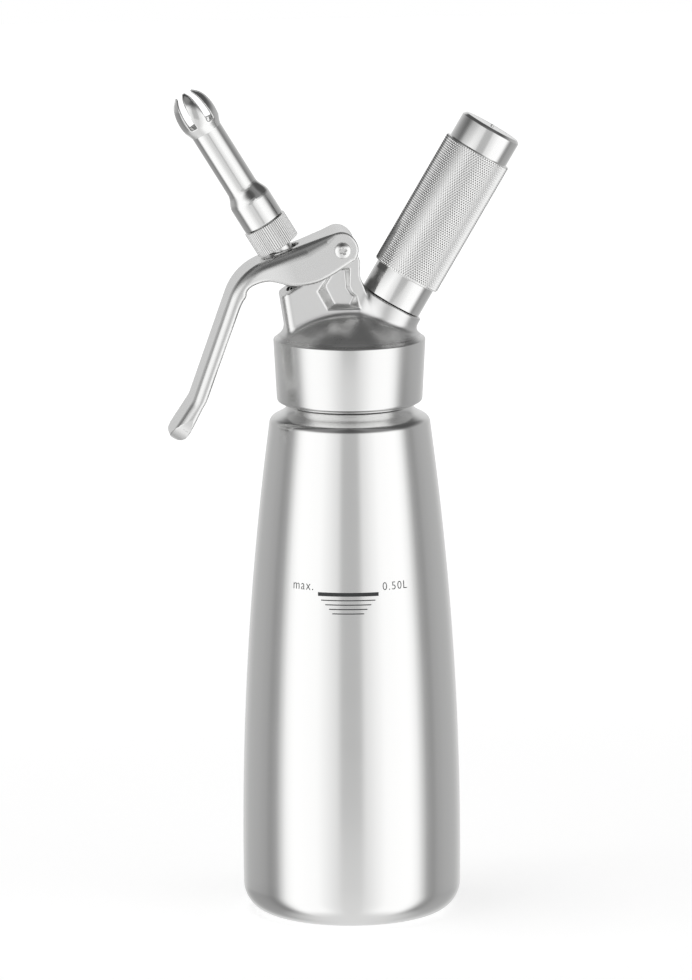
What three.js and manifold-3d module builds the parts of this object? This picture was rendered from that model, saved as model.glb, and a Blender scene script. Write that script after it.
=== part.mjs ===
// Whipped cream dispenser: a steel bottle, a screw-on head with a pressing lever, a sprung hollow
// valve stem that carries the decorating nozzle, and a holder that screws a gas charger onto the
// head. Millimetres, +Z up, with the origin in the middle of the bottle's base. The nozzle leans
// towards -X, the charger holder towards +X, and the lever hangs down on the -X side.
import * as THREE from "three";
import { mergeVertices } from "three/addons/utils/BufferGeometryUtils.js";
import Module from "manifold-3d";

const wasm = await Module();
wasm.setup();

const degree = Math.PI / 180;
const turn = 2 * Math.PI;
const halfTurn = turn / 2;
const quarterTurn = turn / 4;

// Gaps between pieces
const seatGap = 0.3;
const threadGap = 0.4;
const slideGap = 0.3;
const overrun = 2;
const embed = 0.3;

// Bottle
const bottleRadius = 39.5;
const bottleHeight = 206.5;
const bottleWall = 1.2;
const bellyHeight = 25;
const baseFillet = 10.6;
const shoulderWidth = 6.9;
const shoulderFillet = 3.2;
const shoulderSlope = 27.5 * degree;
const neckFillet = 5;
const neckRadius = 22.3;
const neckLength = 18.2;
const neckPitch = 3.2;
const neckThreadHeight = 1;
const neckThreadFoot = 1.4;
const neckThreadCrest = 0.6;
const neckThreadTurns = 2.5;
const neckThreadDrop = 12.3;

// Head: collar and dome
const gasketThickness = 2.5;
const gasketRadialWidth = 2.8;
const gasketRimCover = 0.9;
const collarHeight = 24;
const collarWall = 2.6;
const collarFlare = 1.2;
const collarChamferWidth = 2.3;
const collarChamferHeight = 1.2;
const collarRimRound = 0.7;
const collarRimTurn = 60 * degree;
const rimAboveGasket = 1.4;
const domeRise = 10.4;
const headWall = 3.2;
const mouthRadius = 20;

// Head: the block between the two bosses, with the ear that the lever turns on
const headHalfWidth = 9;
const pocketDepth = 4.2;
const pivotReach = 3.2;
const pivotRise = 33.3;
const earRadius = 4.6;
const earTurnEnd = 30 * degree;
const columnWidth = 6.5;
const pivotBarrelRadius = 2;

// Valve side of the head and what moves in it
const valveTilt = 31.5 * degree;
const valveReach = 17.4;
const valveRise = 20.9;
const valveFootReach = 12.6;
const valveFootRadius = 9.6;
const stemRadius = 4.2;
const stemBore = 1.9;
const springBoreDepth = 11;
const seatDepth = 20;
const seatBossWall = 2.6;
const seatBossLength = 7;
const springWire = 1;
const springClearance = 0.5;
const springTurns = 7;
const stemTailRadius = 2.4;
const ringGrooveDepth = 1.45;
const ringGrooveWidth = 1.7;
const ringGrooveTop = 13.2;
const stemPortRadius = 1.3;
const stemPortDepth = 17.8;
const flangeOverhang = 0.3;
const flangeThickness = 1.6;
const flangeChamfer = 0.9;
const valveSealWidth = 3.3;
const valveSealThickness = 2;
const valveNutThickness = 3;
const valveNutAcrossFlats = 8.4;

// Nozzle adapter and nozzle
const stemThreadPitch = 1.5;
const stemThreadHeight = 0.7;
const stemThreadFoot = 0.7;
const stemThreadCrest = 0.3;
const stemThreadTurns = 3.5;
const stemThreadLead = 1.6;
const adapterRadius = 8.15;
const adapterRingLength = 10;
const adapterSpigotLength = 6.4;
const adapterSpigotRadius = 6;
const adapterBoreDepth = 9.3;
const adapterEdgeChamfer = 0.4;
const adapterPassage = 2.2;
const adapterSealThickness = 1.2;
const nozzleWall = 1.4;
const nozzleBaseRadius = 7.7;
const nozzleBaseLength = 9.2;
const nozzleFlareLength = 5.8;
const nozzleTubeRadius = 5.8;
const nozzleTubeLength = 24.05;
const tulipRadius = 7.5;
const tulipMouthRadius = 3.9;
const tulipLength = 15.4;
const tulipWall = 0.9;
const prongSlotWidth = 2.8;
const prongSlotLift = 3.6;
const prongPairs = 3;

// Charger side of the head, the charger and its holder
const chargerTilt = 30.4 * degree;
const chargerReach = 15;
const chargerRise = 12.85;
const chargerBossStep = 1.1;
const chargerFootReach = 11;
const chargerRadius = 8.9;
const chargerLength = 65.5;
const chargerNeckRadius = 4.4;
const chargerNeckLength = 7.3;
const chargerShoulderLength = 10;
const chargerWall = 1.5;
const chargerNeckBore = 1.3;
const holderPitch = 1.75;
const holderThreadHeight = 0.8;
const holderThreadFoot = 0.8;
const holderThreadCrest = 0.35;
const holderThreadTurns = 3.5;
const holderThreadLift = 2.5;
const spigotWall = 4.4;
const spigotHeight = 9.2;
const holderSkirt = 1.2;
const holderLength = 72.9;
const holderFootLength = 10.6;
const holderCapLength = 9.9;
const holderGripStand = 1.25;
const holderEdgeChamfer = 1;
const holderNibRadius = 0.6;
const holderNibHeight = 0.7;
const piercerLength = 6;
const piercerPassage = 0.9;
const pinWall = 0.5;
const pinBore = 0.4;
const pinPoint = 4;
const chargerSealThickness = 1.7;
const chargerSealBore = 1.3;
const checkValveThickness = 2.4;
const checkValveBore = 0.6;
const gasPassage = 1.6;
const gasBossWall = 2;

// Lever
const leverTilt = 21 * degree;
const leverBackAbovePivot = 6.8;
const leverSheet = 1.8;
const cheekThickness = 1.5;
const cheekGap = 0.4;
const cheekEndRadius = 5.8;
const cheekEndFrom = -70 * degree;
const cheekEndTo = 80 * degree;
const webWrapEnd = 25 * degree;
const leverWebLength = 28;
const leverBendRadius = 21.5;
const leverBendTurn = 49.5 * degree;
const handleLength = 38.4;
const handleCurlRadius = 11;
const handleCurlTurn = 16.5 * degree;
const handleTipLength = 14.4;
const handleHalfWidth = 12;
const handleDepth = 5.4;
const cheekDepth = 14.9;
const leverTravel = 10 * degree;
const taperStart = 19;
const screwHeadRadius = 2.9;
const screwHeadHeight = 1.3;
const screwShankRadius = 1.2;
const screwRecessWidth = 1;
const screwRecessLength = 3;
const screwRecessDepth = 1;
const screwRecessTurn = 25 * degree;

// Numbers of facets
const roundSides = 36;
const smallSides = 24;
const tinySides = 16;
const arcSteps = 4;
const coarseArcSteps = 3;
const bellySteps = 7;
const coarseBellySteps = 4;
const rimSteps = 2;
const domeSteps = 6;

// Shape helpers

function point(x, y) {
  return new THREE.Vector2(x, y);
}

function arc(centre, radius, from, to, steps = arcSteps) {
  return Array.from({ length: steps + 1 }, (_, i) => {
    const angle = from + ((to - from) * i) / steps;
    return point(centre.x + radius * Math.cos(angle), centre.y + radius * Math.sin(angle));
  });
}

// Turns a profile of (radius, height) points about Z.
function lathe(profile, sides = smallSides) {
  return new THREE.LatheGeometry(profile, sides).rotateX(quarterTurn);
}

function ringProfile(inner, outer, bottom, top) {
  return [
    point(inner, bottom),
    point(outer, bottom),
    point(outer, top),
    point(inner, top),
    point(inner, bottom),
  ];
}

function rod(radius, bottom, top, sides = smallSides) {
  return lathe([point(0, bottom), point(radius, bottom), point(radius, top), point(0, top)], sides);
}

// Extrudes a shape drawn in X and Z by a width along Y, centred on Y = 0.
function plateAcrossY(shape, width, curveSegments = arcSteps) {
  const geometry = new THREE.ExtrudeGeometry(shape, { depth: width, bevelEnabled: false, curveSegments });
  return geometry.rotateX(quarterTurn).translate(0, width / 2, 0);
}

// Skins a row of rings that have equal numbers of points, and closes both ends.
function skin(rings) {
  const count = rings[0].length;
  const positions = rings.flat().flatMap((p) => [p.x, p.y, p.z]);
  const index = [];
  for (let ring = 0; ring + 1 < rings.length; ring += 1) {
    for (let side = 0; side < count; side += 1) {
      const here = ring * count + side;
      const next = ring * count + ((side + 1) % count);
      index.push(here, next, here + count, next, next + count, here + count);
    }
  }
  const last = (rings.length - 1) * count;
  for (let side = 1; side + 1 < count; side += 1) {
    index.push(0, side + 1, side, last, last + side, last + side + 1);
  }
  const geometry = new THREE.BufferGeometry();
  geometry.setAttribute("position", new THREE.Float32BufferAttribute(positions, 3));
  geometry.setIndex(signedVolume(positions, index) < 0 ? index.reverse() : index);
  return geometry;
}

function signedVolume(positions, index) {
  const corner = (i) => new THREE.Vector3().fromArray(positions, 3 * i);
  let sum = 0;
  for (let i = 0; i < index.length; i += 3) {
    sum += corner(index[i]).dot(corner(index[i + 1]).cross(corner(index[i + 2])));
  }
  return sum;
}

// One trapezoid ridge wound along a right-hand helix. It stands out of a shaft, or into a bore.
function threadRidge(thread) {
  const { wall, height, foot, crest, pitch, turns, start, inward = false, sides = smallSides } = thread;
  const way = inward ? -1 : 1;
  const rootRadius = wall - way * embed;
  const crestRadius = wall + way * height;
  const section = [
    [rootRadius, -foot / 2],
    [crestRadius, -crest / 2],
    [crestRadius, crest / 2],
    [rootRadius, foot / 2],
  ];
  const steps = Math.round(turns * sides);
  const rings = Array.from({ length: steps + 1 }, (_, i) => {
    const angle = (turn * turns * i) / steps;
    const rise = start + (pitch * angle) / turn;
    return section.map(([r, z]) => new THREE.Vector3(r * Math.cos(angle), r * Math.sin(angle), rise + z));
  });
  return skin(rings);
}

// Joining and cutting

function solid(geometry) {
  const bare = geometry.clone();
  bare.deleteAttribute("normal");
  bare.deleteAttribute("uv");
  const merged = mergeVertices(bare);
  const triangles = [];
  for (let i = 0; i < merged.index.count; i += 3) {
    const [a, b, c] = [0, 1, 2].map((k) => merged.index.getX(i + k));
    if (a !== b && b !== c && c !== a) triangles.push(a, b, c);
  }
  const mesh = new wasm.Mesh({
    numProp: 3,
    vertProperties: new Float32Array(merged.attributes.position.array),
    triVerts: new Uint32Array(triangles),
  });
  return new wasm.Manifold(mesh);
}

function geometryOf(body) {
  const mesh = body.getMesh();
  const geometry = new THREE.BufferGeometry();
  geometry.setAttribute("position", new THREE.BufferAttribute(new Float32Array(mesh.vertProperties), 3));
  geometry.setIndex(new THREE.BufferAttribute(new Uint32Array(mesh.triVerts), 1));
  geometry.computeVertexNormals();
  return geometry;
}

// Materials

function finish(color, roughness, metalness) {
  return new THREE.MeshStandardMaterial({ color, roughness, metalness });
}

const brushedSteel = finish(0xc9c9c8, 0.34, 1);
const polishedSteel = finish(0xd8d8d8, 0.14, 1);
const castSteel = finish(0xc2c2c0, 0.42, 1);
const springSteel = finish(0xb4b4b2, 0.25, 1);
const chargerSteel = finish(0xbcbec2, 0.2, 1);
const brass = finish(0xc9a558, 0.3, 1);
const rubber = finish(0x3a3a3c, 0.75, 0);
const silicone = finish(0xd9d6cf, 0.6, 0);

// Heights along the bottle's axis that several pieces share
const neckBase = bottleHeight - neckLength;
const gasketBottom = bottleHeight + seatGap;
const gasketCeiling = gasketBottom + gasketThickness + seatGap;
const collarTop = gasketCeiling + rimAboveGasket;
const collarBottom = collarTop - collarHeight;
const collarBore = neckRadius + neckThreadHeight + threadGap;
const neckThreadStart = bottleHeight - neckThreadDrop;
const domeTop = collarTop + domeRise;
const shoulderRadius = neckRadius + shoulderWidth;

// The two leaning axes, each with its origin in the middle of its boss's end face
const valveFrame = new THREE.Matrix4()
  .makeRotationY(-valveTilt)
  .setPosition(-valveReach, 0, collarTop + valveRise);
const chargerFrame = new THREE.Matrix4()
  .makeRotationY(chargerTilt)
  .setPosition(chargerReach, 0, collarTop + chargerRise);
const pivot = new THREE.Vector3(-pivotReach, 0, collarTop + pivotRise);

// Radii on the valve's axis
const stemBoreInHead = stemRadius + slideGap;
const springMiddle = stemRadius + springClearance + springWire / 2;
const springBore = springMiddle + springWire / 2 + springClearance;
const flangeRadius = springMiddle + springWire / 2 + flangeOverhang;

// Where the lever's back crosses the valve's axis, measured along that axis from the boss's face
const leverNormal = new THREE.Vector3(-Math.sin(leverTilt), 0, Math.cos(leverTilt));
const valveDirection = new THREE.Vector3(-Math.sin(valveTilt), 0, Math.cos(valveTilt));
const valveFace = new THREE.Vector3().setFromMatrixPosition(valveFrame);
const leverLean = valveTilt - leverTilt;
const faceToBack = leverBackAbovePivot + pivot.clone().sub(valveFace).dot(leverNormal);
const backCrossing = faceToBack / Math.cos(leverLean);
const webUnderside = backCrossing - leverSheet / Math.cos(leverLean);
const flangeTop = webUnderside - (flangeRadius - flangeChamfer) * Math.tan(leverLean) - seatGap;
const flangeBottom = flangeTop - flangeThickness;
const adapterBottom = backCrossing + adapterRadius * Math.tan(leverLean) + seatGap;
const adapterTop = adapterBottom + adapterRingLength;
const stemTop = adapterBottom + adapterBoreDepth - adapterSealThickness - 2 * seatGap;
const stemThreadStart = adapterBottom + stemThreadLead;
const adapterBore = stemRadius + threadGap;

// Heights of the pieces under the valve's seat
const valveSealTop = -seatDepth - seatGap;
const valveNutTop = valveSealTop - valveSealThickness - seatGap;
const valveNutBottom = valveNutTop - valveNutThickness;
const stemTailBore = stemTailRadius + slideGap;

// Radii and heights on the charger's axis
const neckBoreInSpigot = chargerNeckRadius + slideGap;
const spigotRadius = neckBoreInSpigot + spigotWall;
const holderThreadBore = spigotRadius + holderThreadHeight + threadGap;
const holderRadius = holderThreadBore + holderSkirt;
const chargerBossRadius = holderRadius + chargerBossStep;
const piercerTop = 0;
const checkValveTop = piercerTop - piercerLength - seatGap;
const gasFloor = checkValveTop - checkValveThickness - seatGap;
const chargerSealBottom = piercerTop + seatGap;
const chargerBottom = chargerSealBottom + chargerSealThickness + seatGap;

// Bottle

function bellyRadiusAt(height, top) {
  const share = (height - bellyHeight) / (top - bellyHeight);
  return bottleRadius - (bottleRadius - shoulderRadius) * share * share;
}

// The bottle's outline from its base to its rim; the inside is the same line moved in by the wall.
function bottleOutline(inset, steps, bellyCount) {
  const cornerEnd = quarterTurn - shoulderSlope;
  const neckCentre = point(neckRadius + neckFillet, neckBase);
  const slopeTop = point(
    neckCentre.x - neckFillet * Math.cos(cornerEnd),
    neckCentre.y - neckFillet * Math.sin(cornerEnd),
  );
  const cornerCentreX = shoulderRadius - shoulderFillet;
  const slopeFoot = cornerCentreX + shoulderFillet * Math.cos(cornerEnd);
  const slopeDrop = Math.tan(shoulderSlope) * (slopeFoot - slopeTop.x);
  const cornerCentreY = slopeTop.y - slopeDrop - shoulderFillet * Math.sin(cornerEnd);
  const cornerCentre = point(cornerCentreX, cornerCentreY);
  const belly = Array.from({ length: bellyCount }, (_, i) => {
    const height = baseFillet + ((cornerCentreY - baseFillet) * i) / bellyCount;
    return point(bellyRadiusAt(height, cornerCentreY) - inset, height);
  });
  const baseCentre = point(bellyRadiusAt(baseFillet, cornerCentreY) - baseFillet, baseFillet);
  return [
    point(0, inset),
    ...arc(baseCentre, baseFillet - inset, -quarterTurn, 0, steps).slice(0, -1),
    ...belly,
    ...arc(cornerCentre, shoulderFillet - inset, 0, cornerEnd, steps),
    ...arc(neckCentre, neckFillet + inset, halfTurn + cornerEnd, halfTurn, steps),
    point(neckRadius - inset, bottleHeight),
  ];
}

function bottle() {
  const outside = bottleOutline(0, arcSteps, bellySteps);
  const inside = bottleOutline(bottleWall, coarseArcSteps, coarseBellySteps);
  const shell = lathe([...outside, ...inside.reverse()], roundSides);
  const ridge = threadRidge({
    wall: neckRadius,
    height: neckThreadHeight,
    foot: neckThreadFoot,
    crest: neckThreadCrest,
    pitch: neckPitch,
    turns: neckThreadTurns,
    start: neckThreadStart,
  });
  return geometryOf(solid(shell).add(solid(ridge)));
}

// Head

function domeArc(radiusDrop, from, to, steps) {
  const rim = collarRadiusTop() - collarRimRound;
  const sphere = (rim * rim + domeRise * domeRise) / (2 * domeRise);
  const radius = sphere - radiusDrop;
  const centre = point(0, domeTop - sphere);
  return arc(centre, radius, Math.acos(from / radius), Math.acos(to / radius), steps);
}

function collarRadiusTop() {
  return collarBore + collarWall + collarFlare;
}

function headOutside() {
  const sideRadius = collarBore + collarWall;
  const rimCentre = point(collarRadiusTop() - collarRimRound, collarTop - collarRimRound);
  return [
    point(0, collarBottom),
    point(sideRadius - collarChamferWidth, collarBottom),
    point(sideRadius, collarBottom + collarChamferHeight),
    ...arc(rimCentre, collarRimRound, 0, collarRimTurn, rimSteps),
    ...domeArc(0, collarRadiusTop() - collarRimRound, 0, domeSteps),
  ];
}

function headInside() {
  return [
    point(0, collarBottom - overrun),
    point(collarBore, collarBottom - overrun),
    point(collarBore, gasketCeiling),
    point(mouthRadius, gasketCeiling),
    ...domeArc(headWall, mouthRadius, 0, arcSteps),
  ];
}

function circleRing(radius, matrix, sides) {
  return Array.from({ length: sides }, (_, i) => {
    const angle = (turn * i) / sides;
    return new THREE.Vector3(radius * Math.cos(angle), radius * Math.sin(angle), 0).applyMatrix4(matrix);
  });
}

// A boss that runs from a level circle inside the dome up to its leaning end face.
function boss(topFrame, topRadius, footX, footRadius) {
  const foot = new THREE.Matrix4().setPosition(footX, 0, collarTop - overrun);
  return skin([circleRing(footRadius, foot, smallSides), circleRing(topRadius, topFrame, smallSides)]);
}

// The upright block: it rises from the dome between the bosses and ends in the lever's ear.
function blockShape() {
  const faceEdge = new THREE.Vector3(headHalfWidth, 0, 0).applyMatrix4(valveFrame);
  const ridge = new THREE.Vector3(-chargerBossRadius, 0, 0).applyMatrix4(chargerFrame);
  const columnRight = pivot.x + columnWidth;
  const shape = new THREE.Shape();
  shape.moveTo(-valveFootReach, collarTop);
  shape.lineTo(valveFace.x, valveFace.z - embed);
  shape.lineTo(faceEdge.x, faceEdge.z);
  shape.lineTo(pivot.x - earRadius, pivot.z - earRadius / 2);
  shape.absarc(pivot.x, pivot.z, earRadius, halfTurn, earTurnEnd, true);
  shape.lineTo(columnRight, pivot.z - earRadius);
  shape.lineTo(columnRight - embed, ridge.z + earRadius);
  shape.lineTo(ridge.x + collarRimRound, ridge.z);
  shape.lineTo(chargerFootReach, collarTop);
  return shape;
}

// The hollow in each side of the block: its edge on the block's face, then its floor. The shares are
// of the valve boss's reach, from the middle towards -X, and of the pivot's rise above the collar.
const pocketEdgeShares = [
  [0.49, 0.35],
  [-0.185, 0.355],
  [-0.11, 0.49],
  [-0.02, 0.535],
  [0.04, 0.605],
  [0.025, 0.795],
  [0.355, 0.795],
  [0.585, 0.625],
  [0.695, 0.545],
];
const pocketFloorShares = [
  [0.33, 0.385],
  [0.025, 0.38],
  [-0.075, 0.47],
  [0.005, 0.5],
  [0.08, 0.565],
  [0.115, 0.765],
  [0.32, 0.765],
  [0.515, 0.605],
  [0.51, 0.575],
];

function pocket(side) {
  const ring = (shares, depth) =>
    shares.map(([across, up]) => {
      const level = collarTop + pivotRise * up;
      return new THREE.Vector3(-valveReach * across, side * (headHalfWidth - depth), level);
    });
  return skin([
    ring(pocketEdgeShares, -overrun),
    ring(pocketEdgeShares, 0),
    ring(pocketFloorShares, pocketDepth),
  ]);
}

function head() {
  const onValve = (geometry) => solid(geometry.applyMatrix4(valveFrame));
  const onCharger = (geometry) => solid(geometry.applyMatrix4(chargerFrame));
  const rimDiameter = 2 * collarRadiusTop();
  const solids = [
    solid(boss(valveFrame, headHalfWidth, -valveFootReach, valveFootRadius)),
    solid(boss(chargerFrame, chargerBossRadius, chargerFootReach, chargerBossRadius)),
    solid(plateAcrossY(blockShape(), 2 * headHalfWidth, 2 * arcSteps)),
  ];
  const cuts = [
    solid(pocket(1)),
    solid(pocket(-1)),
    solid(lathe(headInside(), roundSides)),
    solid(rod(pivotBarrelRadius + slideGap, -headHalfWidth - overrun, headHalfWidth + overrun, tinySides)
      .rotateX(quarterTurn)
      .translate(pivot.x, 0, pivot.z)),
  ];
  const inner = [
    onValve(rod(stemBoreInHead + seatBossWall, -seatDepth, seatBossLength - seatDepth)),
    onCharger(rod(neckBoreInSpigot + gasBossWall, gasFloor - gasBossWall, -piercerLength / 2)),
    onCharger(rod(spigotRadius, -piercerLength / 2, spigotHeight)),
  ];
  const bores = [
    onValve(rod(springBore, -springBoreDepth, valveRise)),
    onValve(rod(stemBoreInHead, -seatDepth - overrun, -springBoreDepth + overrun)),
    onCharger(rod(neckBoreInSpigot, gasFloor, spigotHeight + overrun)),
    onCharger(rod(gasPassage, gasFloor - gasBossWall - overrun, gasFloor + overrun, tinySides)),
  ];
  const ridges = [
    solid(threadRidge({
      wall: collarBore,
      height: neckThreadHeight,
      foot: neckThreadFoot,
      crest: neckThreadCrest,
      pitch: neckPitch,
      turns: neckThreadTurns,
      start: neckThreadStart - neckPitch / 2,
      inward: true,
    })),
    onCharger(threadRidge({
      wall: spigotRadius,
      height: holderThreadHeight,
      foot: holderThreadFoot,
      crest: holderThreadCrest,
      pitch: holderPitch,
      turns: holderThreadTurns,
      start: holderThreadLift,
      sides: tinySides,
    })),
  ];
  const trim = solid(rod(rimDiameter, collarBottom - rimDiameter, collarBottom));
  let body = solid(lathe(headOutside(), roundSides));
  for (const piece of solids) body = body.add(piece);
  for (const cut of cuts) body = body.subtract(cut);
  for (const piece of inner) body = body.add(piece);
  for (const cut of bores) body = body.subtract(cut);
  for (const ridge of ridges) body = body.add(ridge);
  return geometryOf(body.subtract(trim));
}

function headGasket() {
  const inner = neckRadius - bottleWall + gasketRimCover - gasketRadialWidth / 2;
  const profile = ringProfile(
    inner,
    inner + gasketRadialWidth,
    gasketBottom,
    gasketBottom + gasketThickness,
  );
  return lathe(profile, roundSides);
}

// Valve

function valveStem() {
  const tailEnd = valveNutBottom;
  const grooveFloor = stemRadius - ringGrooveDepth;
  const grooveBottom = -ringGrooveTop - ringGrooveWidth;
  const threadRoot = stemRadius - stemThreadHeight;
  const boreEnd = -stemPortDepth - stemPortRadius;
  const body = solid(lathe([
    point(0, tailEnd),
    point(stemTailRadius, tailEnd),
    point(stemTailRadius, -seatDepth),
    point(stemRadius, -seatDepth),
    point(stemRadius, grooveBottom),
    point(grooveFloor, grooveBottom),
    point(grooveFloor, -ringGrooveTop),
    point(stemRadius, -ringGrooveTop),
    point(stemRadius, flangeBottom),
    point(flangeRadius, flangeBottom),
    point(flangeRadius, flangeTop - flangeChamfer),
    point(flangeRadius - flangeChamfer, flangeTop),
    point(stemRadius, flangeTop),
    point(stemRadius, adapterBottom),
    point(threadRoot, adapterBottom + stemThreadHeight),
    point(threadRoot, stemTop),
    point(stemBore, stemTop),
    point(stemBore, boreEnd),
    point(0, boreEnd),
  ], tinySides));
  const port = solid(rod(stemPortRadius, -stemRadius - overrun, stemRadius + overrun, tinySides)
    .rotateY(quarterTurn)
    .translate(0, 0, -stemPortDepth));
  const ridge = solid(threadRidge({
    wall: threadRoot,
    height: stemThreadHeight,
    foot: stemThreadFoot,
    crest: stemThreadCrest,
    pitch: stemThreadPitch,
    turns: stemThreadTurns,
    start: stemThreadStart,
    sides: tinySides,
  }));
  return geometryOf(body.subtract(port).add(ridge));
}

function stemRing() {
  const inner = stemRadius - ringGrooveDepth + slideGap;
  const section = (stemRadius - inner) / 2;
  const centre = point(inner + section, -ringGrooveTop - ringGrooveWidth / 2);
  const profile = arc(centre, section, 0, turn, 2 * arcSteps);
  profile[profile.length - 1] = profile[0].clone();
  return lathe(profile, tinySides);
}

function valveSeal() {
  const inner = stemTailBore;
  return lathe(ringProfile(inner, inner + valveSealWidth, valveSealTop - valveSealThickness, valveSealTop));
}

function valveNut() {
  const hexagon = new THREE.Shape();
  const flats = 6;
  const corner = valveNutAcrossFlats / 2 / Math.cos(halfTurn / flats);
  hexagon.setFromPoints(arc(point(0, 0), corner, 0, turn, flats).slice(0, -1));
  const hole = new THREE.Path(arc(point(0, 0), stemTailBore, 0, turn, tinySides).slice(0, -1));
  hexagon.holes.push(hole);
  const settings = { depth: valveNutThickness, bevelEnabled: false };
  return new THREE.ExtrudeGeometry(hexagon, settings).translate(0, 0, valveNutBottom);
}

// The valve spring's wire, eight steps of five sides to a curl.
function valveSpring() {
  const stepsPerCurl = 8;
  const wireSides = 5;
  const wire = springWire / 2;
  const bottom = -springBoreDepth + seatGap + wire;
  const top = flangeBottom - seatGap - wire;
  const steps = springTurns * stepsPerCurl;
  const middleAt = (i) => {
    const angle = (turn * i) / stepsPerCurl;
    const height = bottom + ((top - bottom) * i) / steps;
    return new THREE.Vector3(springMiddle * Math.cos(angle), springMiddle * Math.sin(angle), height);
  };
  const rings = Array.from({ length: steps + 1 }, (_, i) => {
    const middle = middleAt(i);
    const outward = new THREE.Vector3(middle.x, middle.y, 0).normalize();
    return Array.from({ length: wireSides }, (_, k) => {
      const angle = (turn * k) / wireSides;
      return middle
        .clone()
        .addScaledVector(outward, wire * Math.cos(angle))
        .add(new THREE.Vector3(0, 0, wire * Math.sin(angle)));
    });
  });
  const leastGap = leastSpringGap(middleAt, steps, stepsPerCurl);
  console.log(`valve spring: least gap to itself ${leastGap.toFixed(2)} mm`);
  return skin(rings);
}

// The smallest distance between points half a curl or more apart, less one wire.
function leastSpringGap(middleAt, steps, stepsPerCurl) {
  let least = Infinity;
  for (let i = 0; i <= steps; i += 1) {
    for (let k = i + stepsPerCurl / 2; k <= steps; k += 1) {
      least = Math.min(least, middleAt(i).distanceTo(middleAt(k)) - springWire);
    }
  }
  return least;
}

// Nozzle adapter and nozzle

function nozzleAdapter() {
  const boreTop = adapterBottom + adapterBoreDepth;
  const spigotTop = adapterTop + adapterSpigotLength;
  const chamfer = adapterEdgeChamfer;
  const body = solid(lathe([
    point(adapterBore, adapterBottom),
    point(adapterRadius - chamfer, adapterBottom),
    point(adapterRadius, adapterBottom + chamfer),
    point(adapterRadius, adapterTop - chamfer),
    point(adapterRadius - chamfer, adapterTop),
    point(adapterSpigotRadius, adapterTop),
    point(adapterSpigotRadius, spigotTop),
    point(adapterPassage, spigotTop),
    point(adapterPassage, boreTop),
    point(adapterBore, boreTop),
    point(adapterBore, adapterBottom),
  ]));
  const ridge = solid(threadRidge({
    wall: adapterBore,
    height: stemThreadHeight,
    foot: stemThreadFoot,
    crest: stemThreadCrest,
    pitch: stemThreadPitch,
    turns: stemThreadTurns,
    start: stemThreadStart - stemThreadPitch / 2,
    inward: true,
    sides: tinySides,
  }));
  return geometryOf(body.add(ridge));
}

function adapterSeal() {
  const bottom = stemTop + seatGap;
  return lathe(ringProfile(adapterPassage, stemRadius, bottom, bottom + adapterSealThickness), tinySides);
}

// Radius of the tulip from its neck to the tips of its prongs, as shares of the way up and of the
// rise from the neck's radius to the widest radius.
const tulipShares = [
  [0, 0],
  [0.1, 0.3],
  [0.22, 0.8],
  [0.36, 1],
  [0.52, 0.96],
  [0.7, 0.66],
  [0.86, 0.1],
  [1, -0.75],
];

function tulipOutline(bottom, inset) {
  const rise = tulipRadius - nozzleTubeRadius;
  const mouthShare = (tulipMouthRadius - nozzleTubeRadius) / rise;
  return tulipShares.map(([up, out], i) => {
    const share = i === tulipShares.length - 1 ? mouthShare : out;
    return point(nozzleTubeRadius + rise * share - inset, bottom + tulipLength * up);
  });
}

function tulipNozzle() {
  const bottom = adapterTop + seatGap;
  const baseTop = bottom + nozzleBaseLength;
  const tubeBottom = baseTop + nozzleFlareLength;
  const tulipBottom = tubeBottom + nozzleTubeLength;
  const slotBottom = tulipBottom + prongSlotLift;
  const innerTube = nozzleTubeRadius - nozzleWall;
  const innerBase = nozzleBaseRadius - nozzleWall;
  const spigotRoom = adapterTop + adapterSpigotLength + seatGap;
  let body = solid(lathe([
    point(innerBase, bottom),
    point(nozzleBaseRadius, bottom),
    point(nozzleBaseRadius, baseTop),
    point(nozzleTubeRadius, tubeBottom),
    ...tulipOutline(tulipBottom, 0),
    ...tulipOutline(tulipBottom, tulipWall).slice(1).reverse(),
    point(innerTube, tulipBottom),
    point(innerTube, Math.max(tubeBottom, spigotRoom)),
    point(innerBase, Math.max(baseTop, spigotRoom)),
    point(innerBase, bottom),
  ]));
  const slotHeight = tulipLength + overrun;
  for (let pair = 0; pair < prongPairs; pair += 1) {
    const slot = new THREE.BoxGeometry(2 * (tulipRadius + overrun), prongSlotWidth, slotHeight);
    slot.rotateZ((halfTurn * pair) / prongPairs);
    slot.translate(0, 0, slotBottom + slotHeight / 2);
    body = body.subtract(solid(slot));
  }
  return geometryOf(body);
}

// Piercer, charger and holder

function piercerBody() {
  const outer = chargerNeckRadius;
  const inner = piercerPassage + slideGap;
  return lathe(ringProfile(inner, outer, piercerTop - piercerLength, piercerTop), tinySides);
}

function piercingPin() {
  const bottom = piercerTop - piercerLength;
  const top = piercerTop + pinPoint;
  return lathe([
    point(pinBore, bottom),
    point(piercerPassage, bottom),
    point(piercerPassage, top - pinPoint / 2),
    point(pinBore + pinWall / 4, top),
    point(pinBore, top),
    point(pinBore, bottom),
  ], tinySides);
}

function chargerSeal() {
  const top = chargerSealBottom + chargerSealThickness;
  return lathe(ringProfile(chargerSealBore, chargerNeckRadius, chargerSealBottom, top), tinySides);
}

function checkValve() {
  const bottom = checkValveTop - checkValveThickness;
  return lathe(ringProfile(checkValveBore, chargerNeckRadius, bottom, checkValveTop), tinySides);
}

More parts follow.
